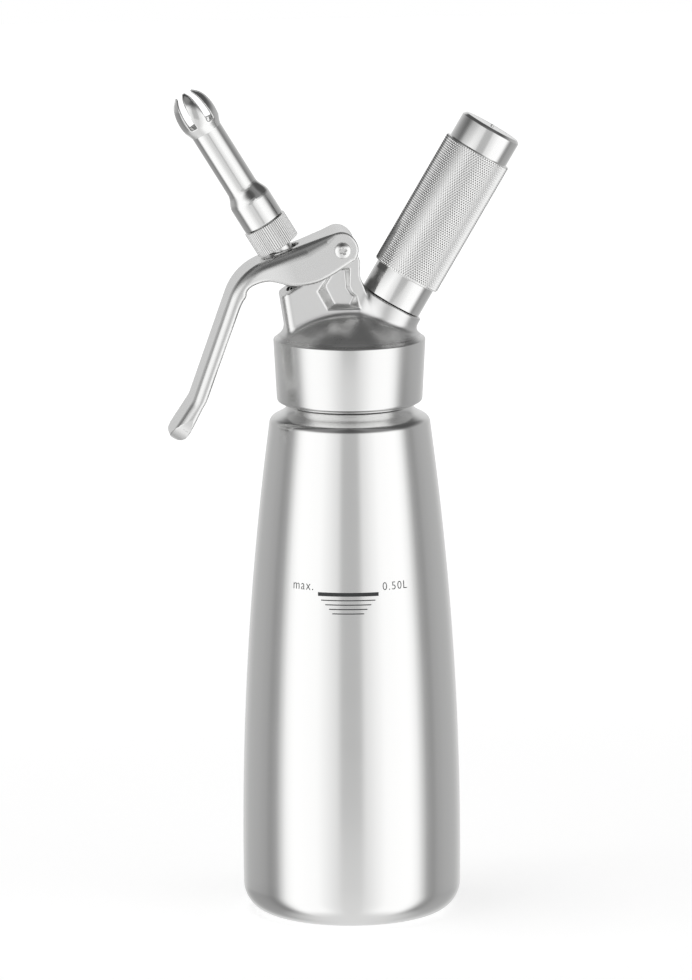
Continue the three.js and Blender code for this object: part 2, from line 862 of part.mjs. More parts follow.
function gasCharger() {
  const neckTop = chargerBottom + chargerNeckLength;
  const shoulderTop = neckTop + chargerShoulderLength;
  const top = chargerBottom + chargerLength;
  const domeCentre = point(0, top - chargerRadius);
  const shell = (inset) => [
    point(chargerRadius - inset, shoulderTop),
    ...arc(domeCentre, chargerRadius - inset, 0, quarterTurn, coarseArcSteps),
  ];
  const shoulderMiddle = (chargerNeckRadius + chargerRadius) / 2;
  return lathe([
    point(chargerNeckBore, chargerBottom),
    point(chargerNeckRadius, chargerBottom),
    point(chargerNeckRadius, neckTop),
    point(shoulderMiddle + chargerWall / 2, neckTop + chargerShoulderLength / 2),
    ...shell(0),
    ...shell(chargerWall).reverse(),
    point(shoulderMiddle - chargerWall / 2, neckTop + chargerShoulderLength / 2),
    point(chargerNeckBore, neckTop),
    point(chargerNeckBore, chargerBottom),
  ], tinySides);
}

function chargerHolder() {
  const bottom = seatGap;
  const top = bottom + holderLength;
  const footTop = bottom + holderFootLength;
  const capBottom = top - holderCapLength;
  const threadTop = spigotHeight + slideGap;
  const cavityRadius = chargerRadius + slideGap;
  const cavityTop = chargerBottom + chargerLength + seatGap;
  const grip = holderRadius + holderGripStand;
  const chamfer = holderEdgeChamfer;
  const body = solid(lathe([
    point(holderThreadBore, bottom),
    point(holderRadius, bottom),
    point(holderRadius, footTop),
    point(grip, footTop + holderGripStand),
    point(grip, capBottom - holderGripStand),
    point(holderRadius, capBottom),
    point(holderRadius, top - chamfer),
    point(holderRadius - chamfer, top),
    point(holderNibRadius, top),
    point(holderNibRadius, top + holderNibHeight),
    point(0, top + holderNibHeight),
    point(0, cavityTop),
    point(cavityRadius, cavityTop),
    point(cavityRadius, threadTop),
    point(holderThreadBore, threadTop),
    point(holderThreadBore, bottom),
  ]));
  const ridge = solid(threadRidge({
    wall: holderThreadBore,
    height: holderThreadHeight,
    foot: holderThreadFoot,
    crest: holderThreadCrest,
    pitch: holderPitch,
    turns: holderThreadTurns,
    start: holderThreadLift - holderPitch / 2,
    inward: true,
    sides: tinySides,
  }));
  return geometryOf(body.add(ridge));
}

// Lever, drawn in its own frame: the pivot is the origin, and the back runs towards -X above it

// Walks lines and arcs and gives the points passed, each with the direction that faces inwards.
function walk(start, heading, legs) {
  const trail = [];
  let here = start.clone();
  let way = heading;
  const inward = () => point(-Math.sin(way), Math.cos(way));
  trail.push({ at: here.clone(), inward: inward() });
  for (const { length, bend, steps } of legs) {
    for (let i = 0; i < steps; i += 1) {
      way += bend / steps / 2;
      here = here.clone().add(point(Math.cos(way), Math.sin(way)).multiplyScalar(length / steps));
      way += bend / steps / 2;
      trail.push({ at: here.clone(), inward: inward() });
    }
  }
  return trail;
}

const leverLegs = [
  { length: leverWebLength, bend: 0, steps: 6 },
  { length: leverBendRadius * leverBendTurn, bend: leverBendTurn, steps: 6 },
  { length: handleLength, bend: 0, steps: 4 },
  { length: handleCurlRadius * handleCurlTurn, bend: -handleCurlTurn, steps: 2 },
  { length: handleTipLength, bend: 0, steps: 3 },
];

// Depth of the handle's sides from the bend to the tip, as shares of their greatest depth.
const handleDepthShares = [1.08, 0.9, 0.88, 0.86, 0.845, 0.845, 0.73, 0.68, 0.76, 0.84, 0.56];

// Lower edge of the cheeks, as shares of the web's length and of the cheeks' greatest depth.
const cheekEdgeShares = [
  [1.34, 0.52],
  [1.25, 0.44],
  [1.07, 0.46],
  [0.95, 0.58],
  [0.79, 0.81],
  [0.6, 0.95],
  [0.37, 1],
];

function leverTrail() {
  return walk(point(0, leverBackAbovePivot), halfTurn, leverLegs);
}

function leverOutline() {
  const trail = leverTrail();
  const handleStart = trail.length - handleDepthShares.length;
  const innerEdge = trail.slice(handleStart).map(({ at, inward }, i) => {
    return at.clone().addScaledVector(inward, handleDepth * handleDepthShares[i]);
  });
  const cheekEdge = cheekEdgeShares.map(([along, down]) => {
    return point(-leverWebLength * along, leverBackAbovePivot - cheekDepth * down);
  });
  return [...trail.map(({ at }) => at), ...innerEdge.reverse(), ...cheekEdge, ...cheekEnd()];
}

// The round of the cheeks behind the pivot, which swells upwards to meet the lever's back.
function cheekEnd() {
  return Array.from({ length: 2 * arcSteps + 1 }, (_, i) => {
    const angle = cheekEndFrom + ((cheekEndTo - cheekEndFrom) * i) / (2 * arcSteps);
    const rise = Math.max(0, Math.sin(angle));
    const radius = cheekEndRadius + (leverBackAbovePivot - cheekEndRadius) * rise * rise;
    return point(radius * Math.cos(angle), radius * Math.sin(angle));
  });
}

// The hollow between the cheeks and inside the handle, open on the side that faces the bottle. At the
// pivot the back wraps part of the way round the ear.
function leverHollow() {
  const trail = leverTrail().slice(0, -1);
  const floor = trail.map(({ at, inward }) => at.clone().addScaledVector(inward, leverSheet));
  const mouth = trail.map(({ at, inward }) => at.clone().addScaledVector(inward, handleDepth + cheekDepth));
  const reach = cheekEndRadius + overrun;
  const wrap = arc(point(0, 0), leverBackAbovePivot - leverSheet, webWrapEnd, quarterTurn);
  const wayOut = point(reach, reach * Math.tan(webWrapEnd));
  return [...wrap, ...floor.slice(1), mouth[mouth.length - 1], mouth[0], point(reach, mouth[0].y), wayOut];
}

// The lever seen from above: it goes from the cheeks' width at the head to the handle's width.
function planform(headEndHalfWidth, farEndHalfWidth) {
  const taperEnd = leverWebLength + leverBendRadius * Math.tan(leverBendTurn / 2);
  const reach = leverWebLength + leverBendRadius + handleLength;
  const tall = 2 * reach;
  const taperSteps = 6;
  const side = Array.from({ length: taperSteps + 1 }, (_, i) => {
    const share = THREE.MathUtils.smoothstep(i / taperSteps, 0, 1);
    const x = taperStart + ((taperEnd - taperStart) * i) / taperSteps;
    return point(-x, headEndHalfWidth + (farEndHalfWidth - headEndHalfWidth) * share);
  });
  const upper = [point(reach, headEndHalfWidth), ...side, point(-reach, farEndHalfWidth)];
  const lower = upper.map(({ x, y }) => point(x, -y)).reverse();
  const settings = { depth: tall, bevelEnabled: false };
  const prism = new THREE.ExtrudeGeometry(new THREE.Shape([...upper, ...lower]), settings);
  return solid(prism.translate(0, 0, -tall / 2));
}

function lever() {
  const cheekInside = headHalfWidth + cheekGap;
  const cheekOutside = cheekInside + cheekThickness;
  const handleInside = handleHalfWidth - cheekThickness;
  const width = 2 * (Math.max(cheekOutside, handleHalfWidth) + overrun);
  const outer = solid(plateAcrossY(new THREE.Shape(leverOutline()), width));
  const hollow = solid(plateAcrossY(new THREE.Shape(leverHollow()), width));
  const holeEnd = cheekOutside + overrun;
  const pivotHole = rod(pivotBarrelRadius + slideGap, -holeEnd, holeEnd, tinySides);
  return geometryOf(
    outer
      .intersect(planform(cheekOutside, handleHalfWidth))
      .subtract(hollow.intersect(planform(cheekInside, handleInside)))
      .subtract(solid(pivotHole.rotateX(quarterTurn)))
      .subtract(solid(stemSlot())),
  );
}

// The slot in the lever's back: the stem slides along it as the lever tips.
function stemSlot() {
  const halfWidth = stemRadius + springClearance;
  const pivotToAxis = backCrossingAlongWeb();
  const sideSlip = Math.abs(pivotToAxis) * Math.sin(leverTravel) * Math.sin(valveTilt);
  const lean = leverSheet * Math.tan(leverLean);
  const shape = new THREE.Shape();
  shape.absarc(0, 0, halfWidth, quarterTurn, -quarterTurn, false);
  shape.absarc(sideSlip + lean, 0, halfWidth, -quarterTurn, quarterTurn, false);
  const settings = { depth: 2 * leverSheet + overrun, bevelEnabled: false, curveSegments: arcSteps };
  const slot = new THREE.ExtrudeGeometry(shape, settings);
  return slot.translate(pivotToAxis - lean / 2, 0, leverBackAbovePivot - 2 * leverSheet);
}

// Place of the stem's axis along the lever's back, measured from the foot of the pivot's normal.
function backCrossingAlongWeb() {
  const crossing = valveFace.clone().addScaledVector(valveDirection, backCrossing);
  const webDirection = new THREE.Vector3(Math.cos(leverTilt), 0, Math.sin(leverTilt));
  return crossing.sub(pivot).dot(webDirection);
}

// Pivot screw and barrel nut, along Y through the ear and both cheeks

function pivotBarrel() {
  const cheekOutside = headHalfWidth + cheekGap + cheekThickness;
  const headBottom = cheekOutside + seatGap;
  const profile = [
    point(0, headBottom + screwHeadHeight),
    point(screwHeadRadius, headBottom + screwHeadHeight / 2),
    point(screwHeadRadius, headBottom),
    point(pivotBarrelRadius, headBottom),
    point(pivotBarrelRadius, -cheekOutside),
    point(screwShankRadius + slideGap, -cheekOutside),
    point(screwShankRadius + slideGap, headHalfWidth),
    point(0, headHalfWidth),
  ];
  return lathe(profile.reverse(), tinySides).rotateX(-quarterTurn);
}

function pivotScrew() {
  const headBottom = headHalfWidth + cheekGap + cheekThickness + seatGap;
  const headTop = headBottom + screwHeadHeight;
  const profile = [
    point(0, 0),
    point(screwShankRadius, 0),
    point(screwShankRadius, headBottom),
    point(screwHeadRadius, headBottom),
    point(screwHeadRadius, headBottom + screwHeadHeight / 2),
    point(screwHeadRadius - screwHeadHeight / 2, headTop),
    point(0, headTop),
  ];
  let body = solid(lathe(profile, tinySides));
  for (const way of [screwRecessTurn, screwRecessTurn + quarterTurn]) {
    const recess = new THREE.BoxGeometry(screwRecessLength, screwRecessWidth, 2 * screwRecessDepth);
    body = body.subtract(solid(recess.rotateZ(way).translate(0, 0, headTop)));
  }
  return geometryOf(body).rotateX(quarterTurn);
}

// The assembly

function named(name, geometry, material) {
  const mesh = new THREE.Mesh(geometry, material);
  mesh.name = name;
  return mesh;
}

function groupAt(matrix, meshes) {
  const group = new THREE.Group();
  group.applyMatrix4(matrix);
  group.add(...meshes);
  return group;
}

const leverFrame = new THREE.Matrix4().makeRotationY(-leverTilt).setPosition(pivot);
const pivotFrame = new THREE.Matrix4().setPosition(pivot);

const dispenser = new THREE.Group();
dispenser.name = "whipped_cream_dispenser";
dispenser.add(
  named("bottle", bottle(), brushedSteel),
  named("head_gasket", headGasket(), silicone),
  named("head", head(), castSteel),
  groupAt(leverFrame, [named("lever", lever(), castSteel)]),
  groupAt(pivotFrame, [
    named("pivot_screw", pivotScrew(), polishedSteel),
    named("pivot_barrel", pivotBarrel(), polishedSteel),
  ]),
  groupAt(valveFrame, [
    named("valve_stem", valveStem(), polishedSteel),
    named("valve_spring", valveSpring(), springSteel),
    named("stem_ring", stemRing(), rubber),
    named("valve_seal", valveSeal(), rubber),
    named("valve_nut", valveNut(), polishedSteel),
    named("nozzle_adapter", nozzleAdapter(), polishedSteel),
    named("adapter_seal", adapterSeal(), silicone),
    named("tulip_nozzle", tulipNozzle(), polishedSteel),
  ]),
  groupAt(chargerFrame, [
    named("piercer_body", piercerBody(), brass),
    named("piercing_pin", piercingPin(), polishedSteel),
    named("charger_seal", chargerSeal(), rubber),
    named("check_valve", checkValve(), rubber),
    named("gas_charger", gasCharger(), chargerSteel),
    named("charger_holder", chargerHolder(), polishedSteel),
  ]),
);

export default dispenser;
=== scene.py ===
"""Whipped cream dispenser: finished pieces, finishes, stage and camera.

Sizes are in millimetres and written in each piece's own frame; Blender's meshes are in metres, +Z up,
with the origin in the middle of the bottle's base. The nozzle leans towards -X, the charger holder
towards +X, and the lever hangs down on the -X side. The constants named EDGE are the radii that break a
turned piece's corners, and those named ROUND are the numbers of faces round its axis.
"""
import logging
import math
from collections.abc import Callable, Sequence
from dataclasses import dataclass
from enum import Enum

import bmesh
import bpy
import numpy as np
from mathutils import Matrix, Vector


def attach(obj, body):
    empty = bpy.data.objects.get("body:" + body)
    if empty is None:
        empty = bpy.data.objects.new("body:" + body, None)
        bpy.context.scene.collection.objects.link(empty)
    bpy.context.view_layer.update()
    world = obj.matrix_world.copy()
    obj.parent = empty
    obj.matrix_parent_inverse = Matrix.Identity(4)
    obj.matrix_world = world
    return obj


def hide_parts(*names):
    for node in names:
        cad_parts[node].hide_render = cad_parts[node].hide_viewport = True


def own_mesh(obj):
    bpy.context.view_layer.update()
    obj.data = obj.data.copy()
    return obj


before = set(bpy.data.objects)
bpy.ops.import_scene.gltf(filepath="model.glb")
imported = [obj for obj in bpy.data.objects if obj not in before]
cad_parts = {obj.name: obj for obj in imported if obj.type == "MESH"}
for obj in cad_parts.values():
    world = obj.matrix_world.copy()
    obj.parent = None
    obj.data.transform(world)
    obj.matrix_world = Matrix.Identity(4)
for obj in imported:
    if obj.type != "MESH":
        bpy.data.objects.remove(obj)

MM = 0.001
TURN = 2 * math.pi
ON_AXIS = 1e-6
NO_TRIANGLES = np.zeros((0, 3), int)
EDGE, FINE_EDGE, SHARP_EDGE = 0.3, 0.2, 0.15
LARGE_ROUND, WIDE_ROUND, NARROW_ROUND, SMALL_ROUND, TINY_ROUND = 192, 144, 128, 64, 48
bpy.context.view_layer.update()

Outline = list[tuple[float, float]]
Pairs = tuple[tuple[float, float], ...]
log = logging.getLogger("dispenser")


# Places

@dataclass(frozen=True)
class Place:
    """An axis that leans in the XZ plane: its origin in millimetres and its lean towards +X in degrees."""

    x: float = 0.0
    z: float = 0.0
    lean: float = 0.0

    def turn(self) -> np.ndarray:
        """Returns the matrix whose columns are this place's axes."""
        angle = math.radians(self.lean)
        cos, sin = math.cos(angle), math.sin(angle)
        return np.array([[cos, 0, sin], [0, 1, 0], [-sin, 0, cos]])

    def outward(self, points: np.ndarray) -> np.ndarray:
        """Returns points of this place's frame in the object's frame."""
        return points @ self.turn().T + np.array([self.x, 0, self.z])

    def inward(self, points: np.ndarray) -> np.ndarray:
        """Returns points of the object's frame in this place's frame."""
        return (points - np.array([self.x, 0, self.z])) @ self.turn()


UPRIGHT = Place()
VALVE = Place(-17.4, 231.9, -31.5)
CHARGER = Place(15.0, 223.85, 30.4)
PIVOT = Place(-3.2, 244.3, -21.0)


# Outlines

def arc(centre: tuple[float, float], radius: float, start: float, end: float, steps: int = 8) -> Outline:
    """Makes points along an arc.

    Args:
        centre: Middle of the arc.
        radius: Its radius.
        start: First angle in degrees.
        end: Last angle in degrees.
        steps: Number of chords.

    Returns:
        The points, both ends included.
    """
    angles = np.radians(np.linspace(start, end, steps + 1))
    return [(centre[0] + radius * math.cos(a), centre[1] + radius * math.sin(a)) for a in angles]


def soften(corners: Sequence[tuple[float, ...]], closed: bool = False, steps: int = 4) -> Outline:
    """Rounds the corners of an outline.

    Args:
        corners: Points (x, y) or (x, y, radius); a corner with no radius stays sharp.
        closed: Whether the last point joins the first.
        steps: Chords in each round.

    Returns:
        The outline's points.
    """
    made: Outline = []
    count = len(corners)
    longest = 0.48
    for i, corner in enumerate(corners):
        here = np.array(corner[:2], float)
        radius = corner[2] if len(corner) > 2 else 0.0
        if radius <= 0 or (not closed and i in (0, count - 1)):
            made.append((here[0], here[1]))
            continue
        before = np.array(corners[i - 1][:2], float) - here
        after = np.array(corners[(i + 1) % count][:2], float) - here
        reach = min(radius, longest * np.linalg.norm(before), longest * np.linalg.norm(after))
        first = here + before / np.linalg.norm(before) * reach
        last = here + after / np.linalg.norm(after) * reach
        for share in np.linspace(0, 1, steps + 1):
            point = first * (1 - share) ** 2 + here * 2 * share * (1 - share) + last * share ** 2
            made.append((point[0], point[1]))
    return made


def cut_corners(outline: Outline, rounds: int = 3) -> Outline:
    """Smooths an open outline by cutting its corners again and again.

    Args:
        outline: The points.
        rounds: How often every corner is cut.

    Returns:
        The smoother outline, with its ends kept.
    """
    points = np.array(outline, float)
    for _ in range(rounds):
        near = 0.75 * points[:-1] + 0.25 * points[1:]
        far = 0.25 * points[:-1] + 0.75 * points[1:]
        middle = np.stack([near, far], 1).reshape(-1, 2)
        points = np.vstack([points[:1], middle, points[-1:]])
    return [tuple(p) for p in points]


def ring_outline(inner: float, outer: float, low: float, high: float, edge: float) -> Outline:
    """Returns the profile of a ring with rounded edges."""
    corners = [(inner, low, edge), (outer, low, edge), (outer, high, edge), (inner, high, edge)]
    return soften(corners, closed=True)


# Meshes

@dataclass
class Shape:
    """Points in millimetres with the quads and triangles between them, and normals where they are known."""

    points: np.ndarray
    quads: np.ndarray
    triangles: np.ndarray
    normals: np.ndarray | None = None

    def placed(self, place: Place) -> "Shape":
        """Returns this shape moved from a place's frame into the object's."""
        normals = None if self.normals is None else self.normals @ place.turn().T
        return Shape(place.outward(self.points), self.quads, self.triangles, normals)


def revolve(outline: Outline, segments: int = 96) -> Shape:
    """Turns an outline of (radius, height) points about Z.

    Args:
        outline: Runs up the outside and down the inside; it starts and ends on the axis, or is closed.
        segments: Number of faces round the axis.

    Returns:
        The closed shape.
    """
    angles = np.arange(segments) * TURN / segments
    circle = np.stack([np.cos(angles), np.sin(angles)], 1)
    points, rows, total = [], [], 0
    for radius, height in outline:
        count = 1 if radius < ON_AXIS else segments
        ring = circle[:count] * (radius if count > 1 else 0)
        points.append(np.column_stack([ring, np.full(count, height)]))
        rows.append(total + np.arange(segments) % count)
        total += count
    pairs = [*zip(rows, rows[1:])]
    if outline[0][0] > ON_AXIS:
        pairs.append((rows[-1], rows[0]))
    quads, triangles = [], [NO_TRIANGLES]
    for low, high in pairs:
        low_next, high_next = np.roll(low, -1), np.roll(high, -1)
        if low[0] == low[1]:
            triangles.append(np.stack([low, high_next, high], 1))
        elif high[0] == high[1]:
            triangles.append(np.stack([low, low_next, high], 1))
        else:
            quads.append(np.stack([low, low_next, high_next, high], 1))
    return Shape(np.vstack(points), np.vstack(quads), np.vstack(triangles))


# Solid forms, as signed distances that are negative inside

@dataclass(frozen=True)
class Form:
    """A solid given by its signed distance, with fillets where it meets another."""

    distance: Callable[[np.ndarray], np.ndarray]

    def join(self, other: "Form", fillet: float = 0.0) -> "Form":
        """Returns both solids as one, with a fillet in the corner between them."""
        return Form(lambda p: soft_least(self.distance(p), other.distance(p), fillet))

    def meet(self, other: "Form", edge: float = 0.0) -> "Form":
        """Returns what both solids share, with its edge rounded."""
        return Form(lambda p: round_most(self.distance(p), other.distance(p), edge))

    def cut(self, other: "Form", edge: float = 0.0) -> "Form":
        """Returns this solid without the other, with its edge rounded."""
        return Form(lambda p: round_most(self.distance(p), -other.distance(p), edge))

    def at(self, points: np.ndarray, size: int = 250_000) -> np.ndarray:
        """Returns the distance at many points, worked out in batches."""
        return np.concatenate([self.distance(points[i:i + size]) for i in range(0, len(points), size)])

    def slope(self, points: np.ndarray, values: np.ndarray, step: float) -> np.ndarray:
        """Returns how fast the distance grows along each axis at the points."""
        return np.stack([(self.distance(points + move) - values) / step for move in np.eye(3) * step], 1)


def soft_least(a: np.ndarray, b: np.ndarray, fillet: float) -> np.ndarray:
    """Joins two distances.

    Args:
        a: Distances to one solid.
        b: Distances to the other.
        fillet: Size of the fillet between them.

    Returns:
        The smaller distance, rounded where the two are alike.
    """
    if fillet <= 0:
        return np.minimum(a, b)
    share = np.clip(0.5 + 0.5 * (b - a) / (2 * fillet), 0, 1)
    return b + (a - b) * share - 2 * fillet * share * (1 - share)


def round_most(a: np.ndarray, b: np.ndarray, edge: np.ndarray | float) -> np.ndarray:
    """Returns the larger distance, with a true round of that radius where two faces meet."""
    past_a, past_b = a + edge, b + edge
    outside = np.hypot(np.maximum(past_a, 0), np.maximum(past_b, 0))
    return np.minimum(np.maximum(past_a, past_b), 0) + outside - edge


def polygon_distance(x: np.ndarray, y: np.ndarray, corners: Sequence) -> np.ndarray:
    """Measures the signed distance to a polygon.

    Args:
        x: First coordinates of the points.
        y: Second coordinates of the points.
        corners: The polygon's corners, each coordinate a number or one value for every point.

    Returns:
        Distances, negative inside.
    """
    least = np.full(x.shape, np.inf)
    inside = np.zeros(x.shape, bool)
    for (ax, ay), (bx, by) in zip(corners, [*corners[1:], corners[0]]):
        ex, ey = bx - ax, by - ay
        share = np.clip(((x - ax) * ex + (y - ay) * ey) / (ex * ex + ey * ey + 1e-12), 0, 1)
        least = np.minimum(least, (x - ax - share * ex) ** 2 + (y - ay - share * ey) ** 2)
        crosses = (ay > y) != (by > y)
        slope = np.where(np.abs(ey) > 1e-9, ey, 1e-9)
        inside ^= crosses & (x < ax + (y - ay) * ex / slope)
    return np.where(inside, -1, 1) * np.sqrt(least)


def turned(outline: Outline, place: Place = UPRIGHT) -> Form:
    """Sweeps an outline round an axis.

    Args:
        outline: Its (radius, height) points.
        place: Where the axis stands.

    Returns:
        The turned solid.
    """
    def distance(points: np.ndarray) -> np.ndarray:
        """Returns the distance to the turned solid."""
        local = place.inward(points)
        return polygon_distance(np.hypot(local[:, 0], local[:, 1]), local[:, 2], outline)
    return Form(distance)


def round_bar(place: Place, radius: float, low: float, high: float) -> Form:
    """Makes a cylinder.

    Args:
        place: Where its axis stands.
        radius: Its radius.
        low: Lower end on the axis.
        high: Upper end on the axis.

    Returns:
        The cylinder.
    """
    def distance(points: np.ndarray) -> np.ndarray:
        """Returns the distance to the cylinder."""
        x, y, z = place.inward(points).T
        return np.maximum.reduce([np.hypot(x, y) - radius, low - z, z - high])
    return Form(distance)


def ball(height: float, radius: float) -> Form:
    """Returns a ball centred on the upright axis."""
    return Form(lambda p: np.linalg.norm(p - np.array([0, 0, height]), axis=1) - radius)


def sample(form: Form, low: np.ndarray, counts: np.ndarray, pitch: float, block: int) -> np.ndarray:
    """Samples a form on a grid, finely only in the blocks near its surface.

    Args:
        form: The solid.
        low: The grid's lowest corner.
        counts: Numbers of blocks along each axis.
        pitch: Distance between samples.
        block: Samples along a block's edge.

    Returns:
        The distances on the whole grid.
    """
    middles = [low[a] + pitch * (block * np.arange(counts[a]) + (block - 1) / 2) for a in range(3)]
    centres = np.stack(np.meshgrid(*middles, indexing="ij"), -1).reshape(-1, 3)
    coarse = form.at(centres)
    near = np.abs(coarse) < 1.25 * pitch * block
    steps = (np.arange(block) - (block - 1) / 2) * pitch
    offsets = np.stack(np.meshgrid(steps, steps, steps, indexing="ij"), -1).reshape(1, -1, 3)
    values = np.repeat(coarse[:, None], block ** 3, 1)
    fine = (centres[near][:, None, :] + offsets).reshape(-1, 3)
    values[near] = form.at(fine).reshape(-1, block ** 3)
    values = values.reshape(*counts, block, block, block).transpose(0, 3, 1, 4, 2, 5)
    return values.reshape(counts * block)


def cast(form: Form, low: Sequence[float], high: Sequence[float], pitch: float) -> Shape:
    """Meshes a form with one point in each grid cell that its surface crosses.

    Args:
        form: The solid.
        low: Lowest corner of the space searched.
        high: Highest corner of that space.
        pitch: Size of a grid cell.

    Returns:
        The surface, its points on the solid's skin, with the skin's own normals.
    """
    block, probe, longest_move = 4, 0.04 * pitch, 0.6 * pitch
    start = np.array(low, float)
    counts = np.ceil((np.array(high, float) - start) / (pitch * block)).astype(int)
    values = sample(form, start, counts, pitch, block)
    inside = values < 0
    corners = np.array([[x, y, z] for x in (0, 1) for y in (0, 1) for z in (0, 1)])
    cell_counts = np.array(values.shape) - 1
    shifted = [tuple(slice(c[a], c[a] + cell_counts[a]) for a in range(3)) for c in corners]
    full = sum(inside[part].astype(int) for part in shifted)
    cells = np.argwhere((full > 0) & (full < len(corners)))
    index = np.full(cell_counts, -1)
    index[tuple(cells.T)] = np.arange(len(cells))
    total, number = np.zeros((len(cells), 3)), np.zeros((len(cells), 1))
    for first in corners:
        for axis in np.flatnonzero(first == 0):
            last = first + np.eye(3, dtype=int)[axis]
            a, b = values[tuple((cells + first).T)], values[tuple((cells + last).T)]
            crossed = ((a < 0) != (b < 0))[:, None]
            share = (a / np.where(a == b, 1, a - b))[:, None]
            total += crossed * (first + share * (last - first))
            number += crossed
    points = start + pitch * (cells + total / number)
    for _ in range(3):
        found = form.at(points)
        slope = form.slope(points, found, probe)
        move = -found[:, None] * slope / np.maximum((slope ** 2).sum(1, keepdims=True), 0.2)
        length = np.linalg.norm(move, axis=1, keepdims=True)
        points = points + move * np.minimum(1, longest_move / np.maximum(length, 1e-9))
    slope = form.slope(points, form.at(points), probe)
    normals = slope / np.maximum(np.linalg.norm(slope, axis=1, keepdims=True), 1e-9)
    return Shape(points, grid_quads(inside, index), NO_TRIANGLES, normals)


def grid_quads(inside: np.ndarray, index: np.ndarray) -> np.ndarray:
    """Joins the cells round each grid edge that leaves the solid.

    Args:
        inside: Which samples lie in the solid.
        index: The point of each cell, or -1.

    Returns:
        Quads with their faces outwards.
    """
    quads = []
    for axis in range(3):
        limits = [slice(1, -1)] * 3
        limits[axis] = slice(0, -1)
        shifted = list(limits)
        shifted[axis] = slice(1, None)
        low = np.ones(3, int)
        low[axis] = 0
        nodes = np.argwhere(inside[tuple(limits)] != inside[tuple(shifted)]) + low
        leaves = inside[tuple(nodes.T)]
        step_u, step_v = (np.eye(3, dtype=int)[(axis + turn) % 3] for turn in (1, 2))
        ring = [nodes - step_u - step_v, nodes - step_v, nodes, nodes - step_u]
        quad = np.stack([index[tuple(cell.T)] for cell in ring], 1)
        quads.append(np.where(leaves[:, None], quad, quad[:, ::-1]))
    return np.vstack(quads)


# Node trees

@dataclass(frozen=True)
class Wire:
    """A node's output, with arithmetic that adds Math nodes to its tree."""

    tree: "Tree"
    socket: bpy.types.NodeSocket

    def maths(self, operation: str, *values: "Wire | float") -> "Wire":
        """Returns the result of a Math node on the values."""
        return self.tree.add("ShaderNodeMath", {"operation": operation}, dict(enumerate(values)))

    def __add__(self, other: "Wire | float") -> "Wire":
        """Returns the sum."""
        return self.maths("ADD", self, other)

    __radd__ = __add__

    def __sub__(self, other: "Wire | float") -> "Wire":
        """Returns the difference."""
        return self.maths("SUBTRACT", self, other)

    def __rsub__(self, other: "Wire | float") -> "Wire":
        """Returns the difference the other way round."""
        return self.maths("SUBTRACT", other, self)

    def __mul__(self, other: "Wire | float") -> "Wire":
        """Returns the product."""
        return self.maths("MULTIPLY", self, other)

    __rmul__ = __mul__

    def __truediv__(self, other: "Wire | float") -> "Wire":
        """Returns the quotient."""
        return self.maths("DIVIDE", self, other)

    def named(self, name: str) -> "Wire":
        """Returns another output of the same node."""
        return Wire(self.tree, self.socket.node.outputs[name])

    def into(self, target: bpy.types.NodeSocket) -> None:
        """Links this output to an input."""
        self.tree.nodes.links.new(self.socket, target)


@dataclass(frozen=True)
class Tree:
    """A shader or geometry tree and the one way nodes are added to it."""

    nodes: bpy.types.NodeTree

    def add(self, kind: str, settings: dict | None = None, sockets: dict | None = None) -> Wire:
        """Adds a node.

        Args:
            kind: The node's type.
            settings: Its settings by name; "stops" gives a ramp's positions and greys.
            sockets: Values or wires of its inputs, by name or number.

        Returns:
            Its first output in use.
        """
        node = self.nodes.nodes.new(kind)
        for name, value in (settings or {}).items():
            if name == "stops":
                set_stops(node.color_ramp, value)
            elif name == "blend":
                node.color_ramp.interpolation = value
            else:
                setattr(node, name, value)
        for name, value in (sockets or {}).items():
            if isinstance(value, Wire):
                value.into(node.inputs[name])
            else:
                node.inputs[name].default_value = value
        outputs = [s for s in node.outputs if s.enabled]
        return Wire(self, outputs[0] if outputs else None)

    def join(self, *parts: "Wire | float") -> Wire:
        """Returns the vector of three values."""
        return self.add("ShaderNodeCombineXYZ", {}, dict(enumerate(parts)))

    def step(
        self, value: Wire, start: "Wire | float", end: "Wire | float", low: float = 0.0, high: float = 1.0
    ) -> Wire:
        """Adds a soft step.

        Args:
            value: What decides.
            start: The value at which the step begins.
            end: The value at which it ends.
            low: The result up to its beginning.
            high: The result from its end.

        Returns:
            The result.
        """
        sockets = {"Value": value, "From Min": start, "From Max": end, "To Min": low, "To Max": high}
        return self.add("ShaderNodeMapRange", {"interpolation_type": "SMOOTHSTEP"}, sockets)


def set_stops(ramp: bpy.types.ColorRamp, stops: Sequence[tuple[float, float]]) -> None:
    """Sets a ramp's stops.

    Args:
        ramp: The ramp, with its two stops.
        stops: Positions and greys.
    """
    for position, grey in stops[2:]:
        ramp.elements.new(position).color = (grey, grey, grey, 1)
    for element, (position, grey) in zip(sorted(ramp.elements, key=lambda e: e.position), sorted(stops)):
        element.position = position
        element.color = (grey, grey, grey, 1)


# Finishes

class Grain(Enum):
    """How a metal surface was worked; the values are its marks' lengths in mm along X, Y and its axis."""

    TURNED = (30.0, 30.0, 0.16)
    BLASTED = (0.5, 0.5, 0.5)
    POLISHED = (3.0, 3.0, 3.0)


def new_material(name: str) -> tuple[bpy.types.Material, Tree, bpy.types.Node]:
    """Returns a new material, its tree and its Principled shader."""
    made = bpy.data.materials.new(name)
    made.use_nodes = True
    return made, Tree(made.node_tree), made.node_tree.nodes["Principled BSDF"]


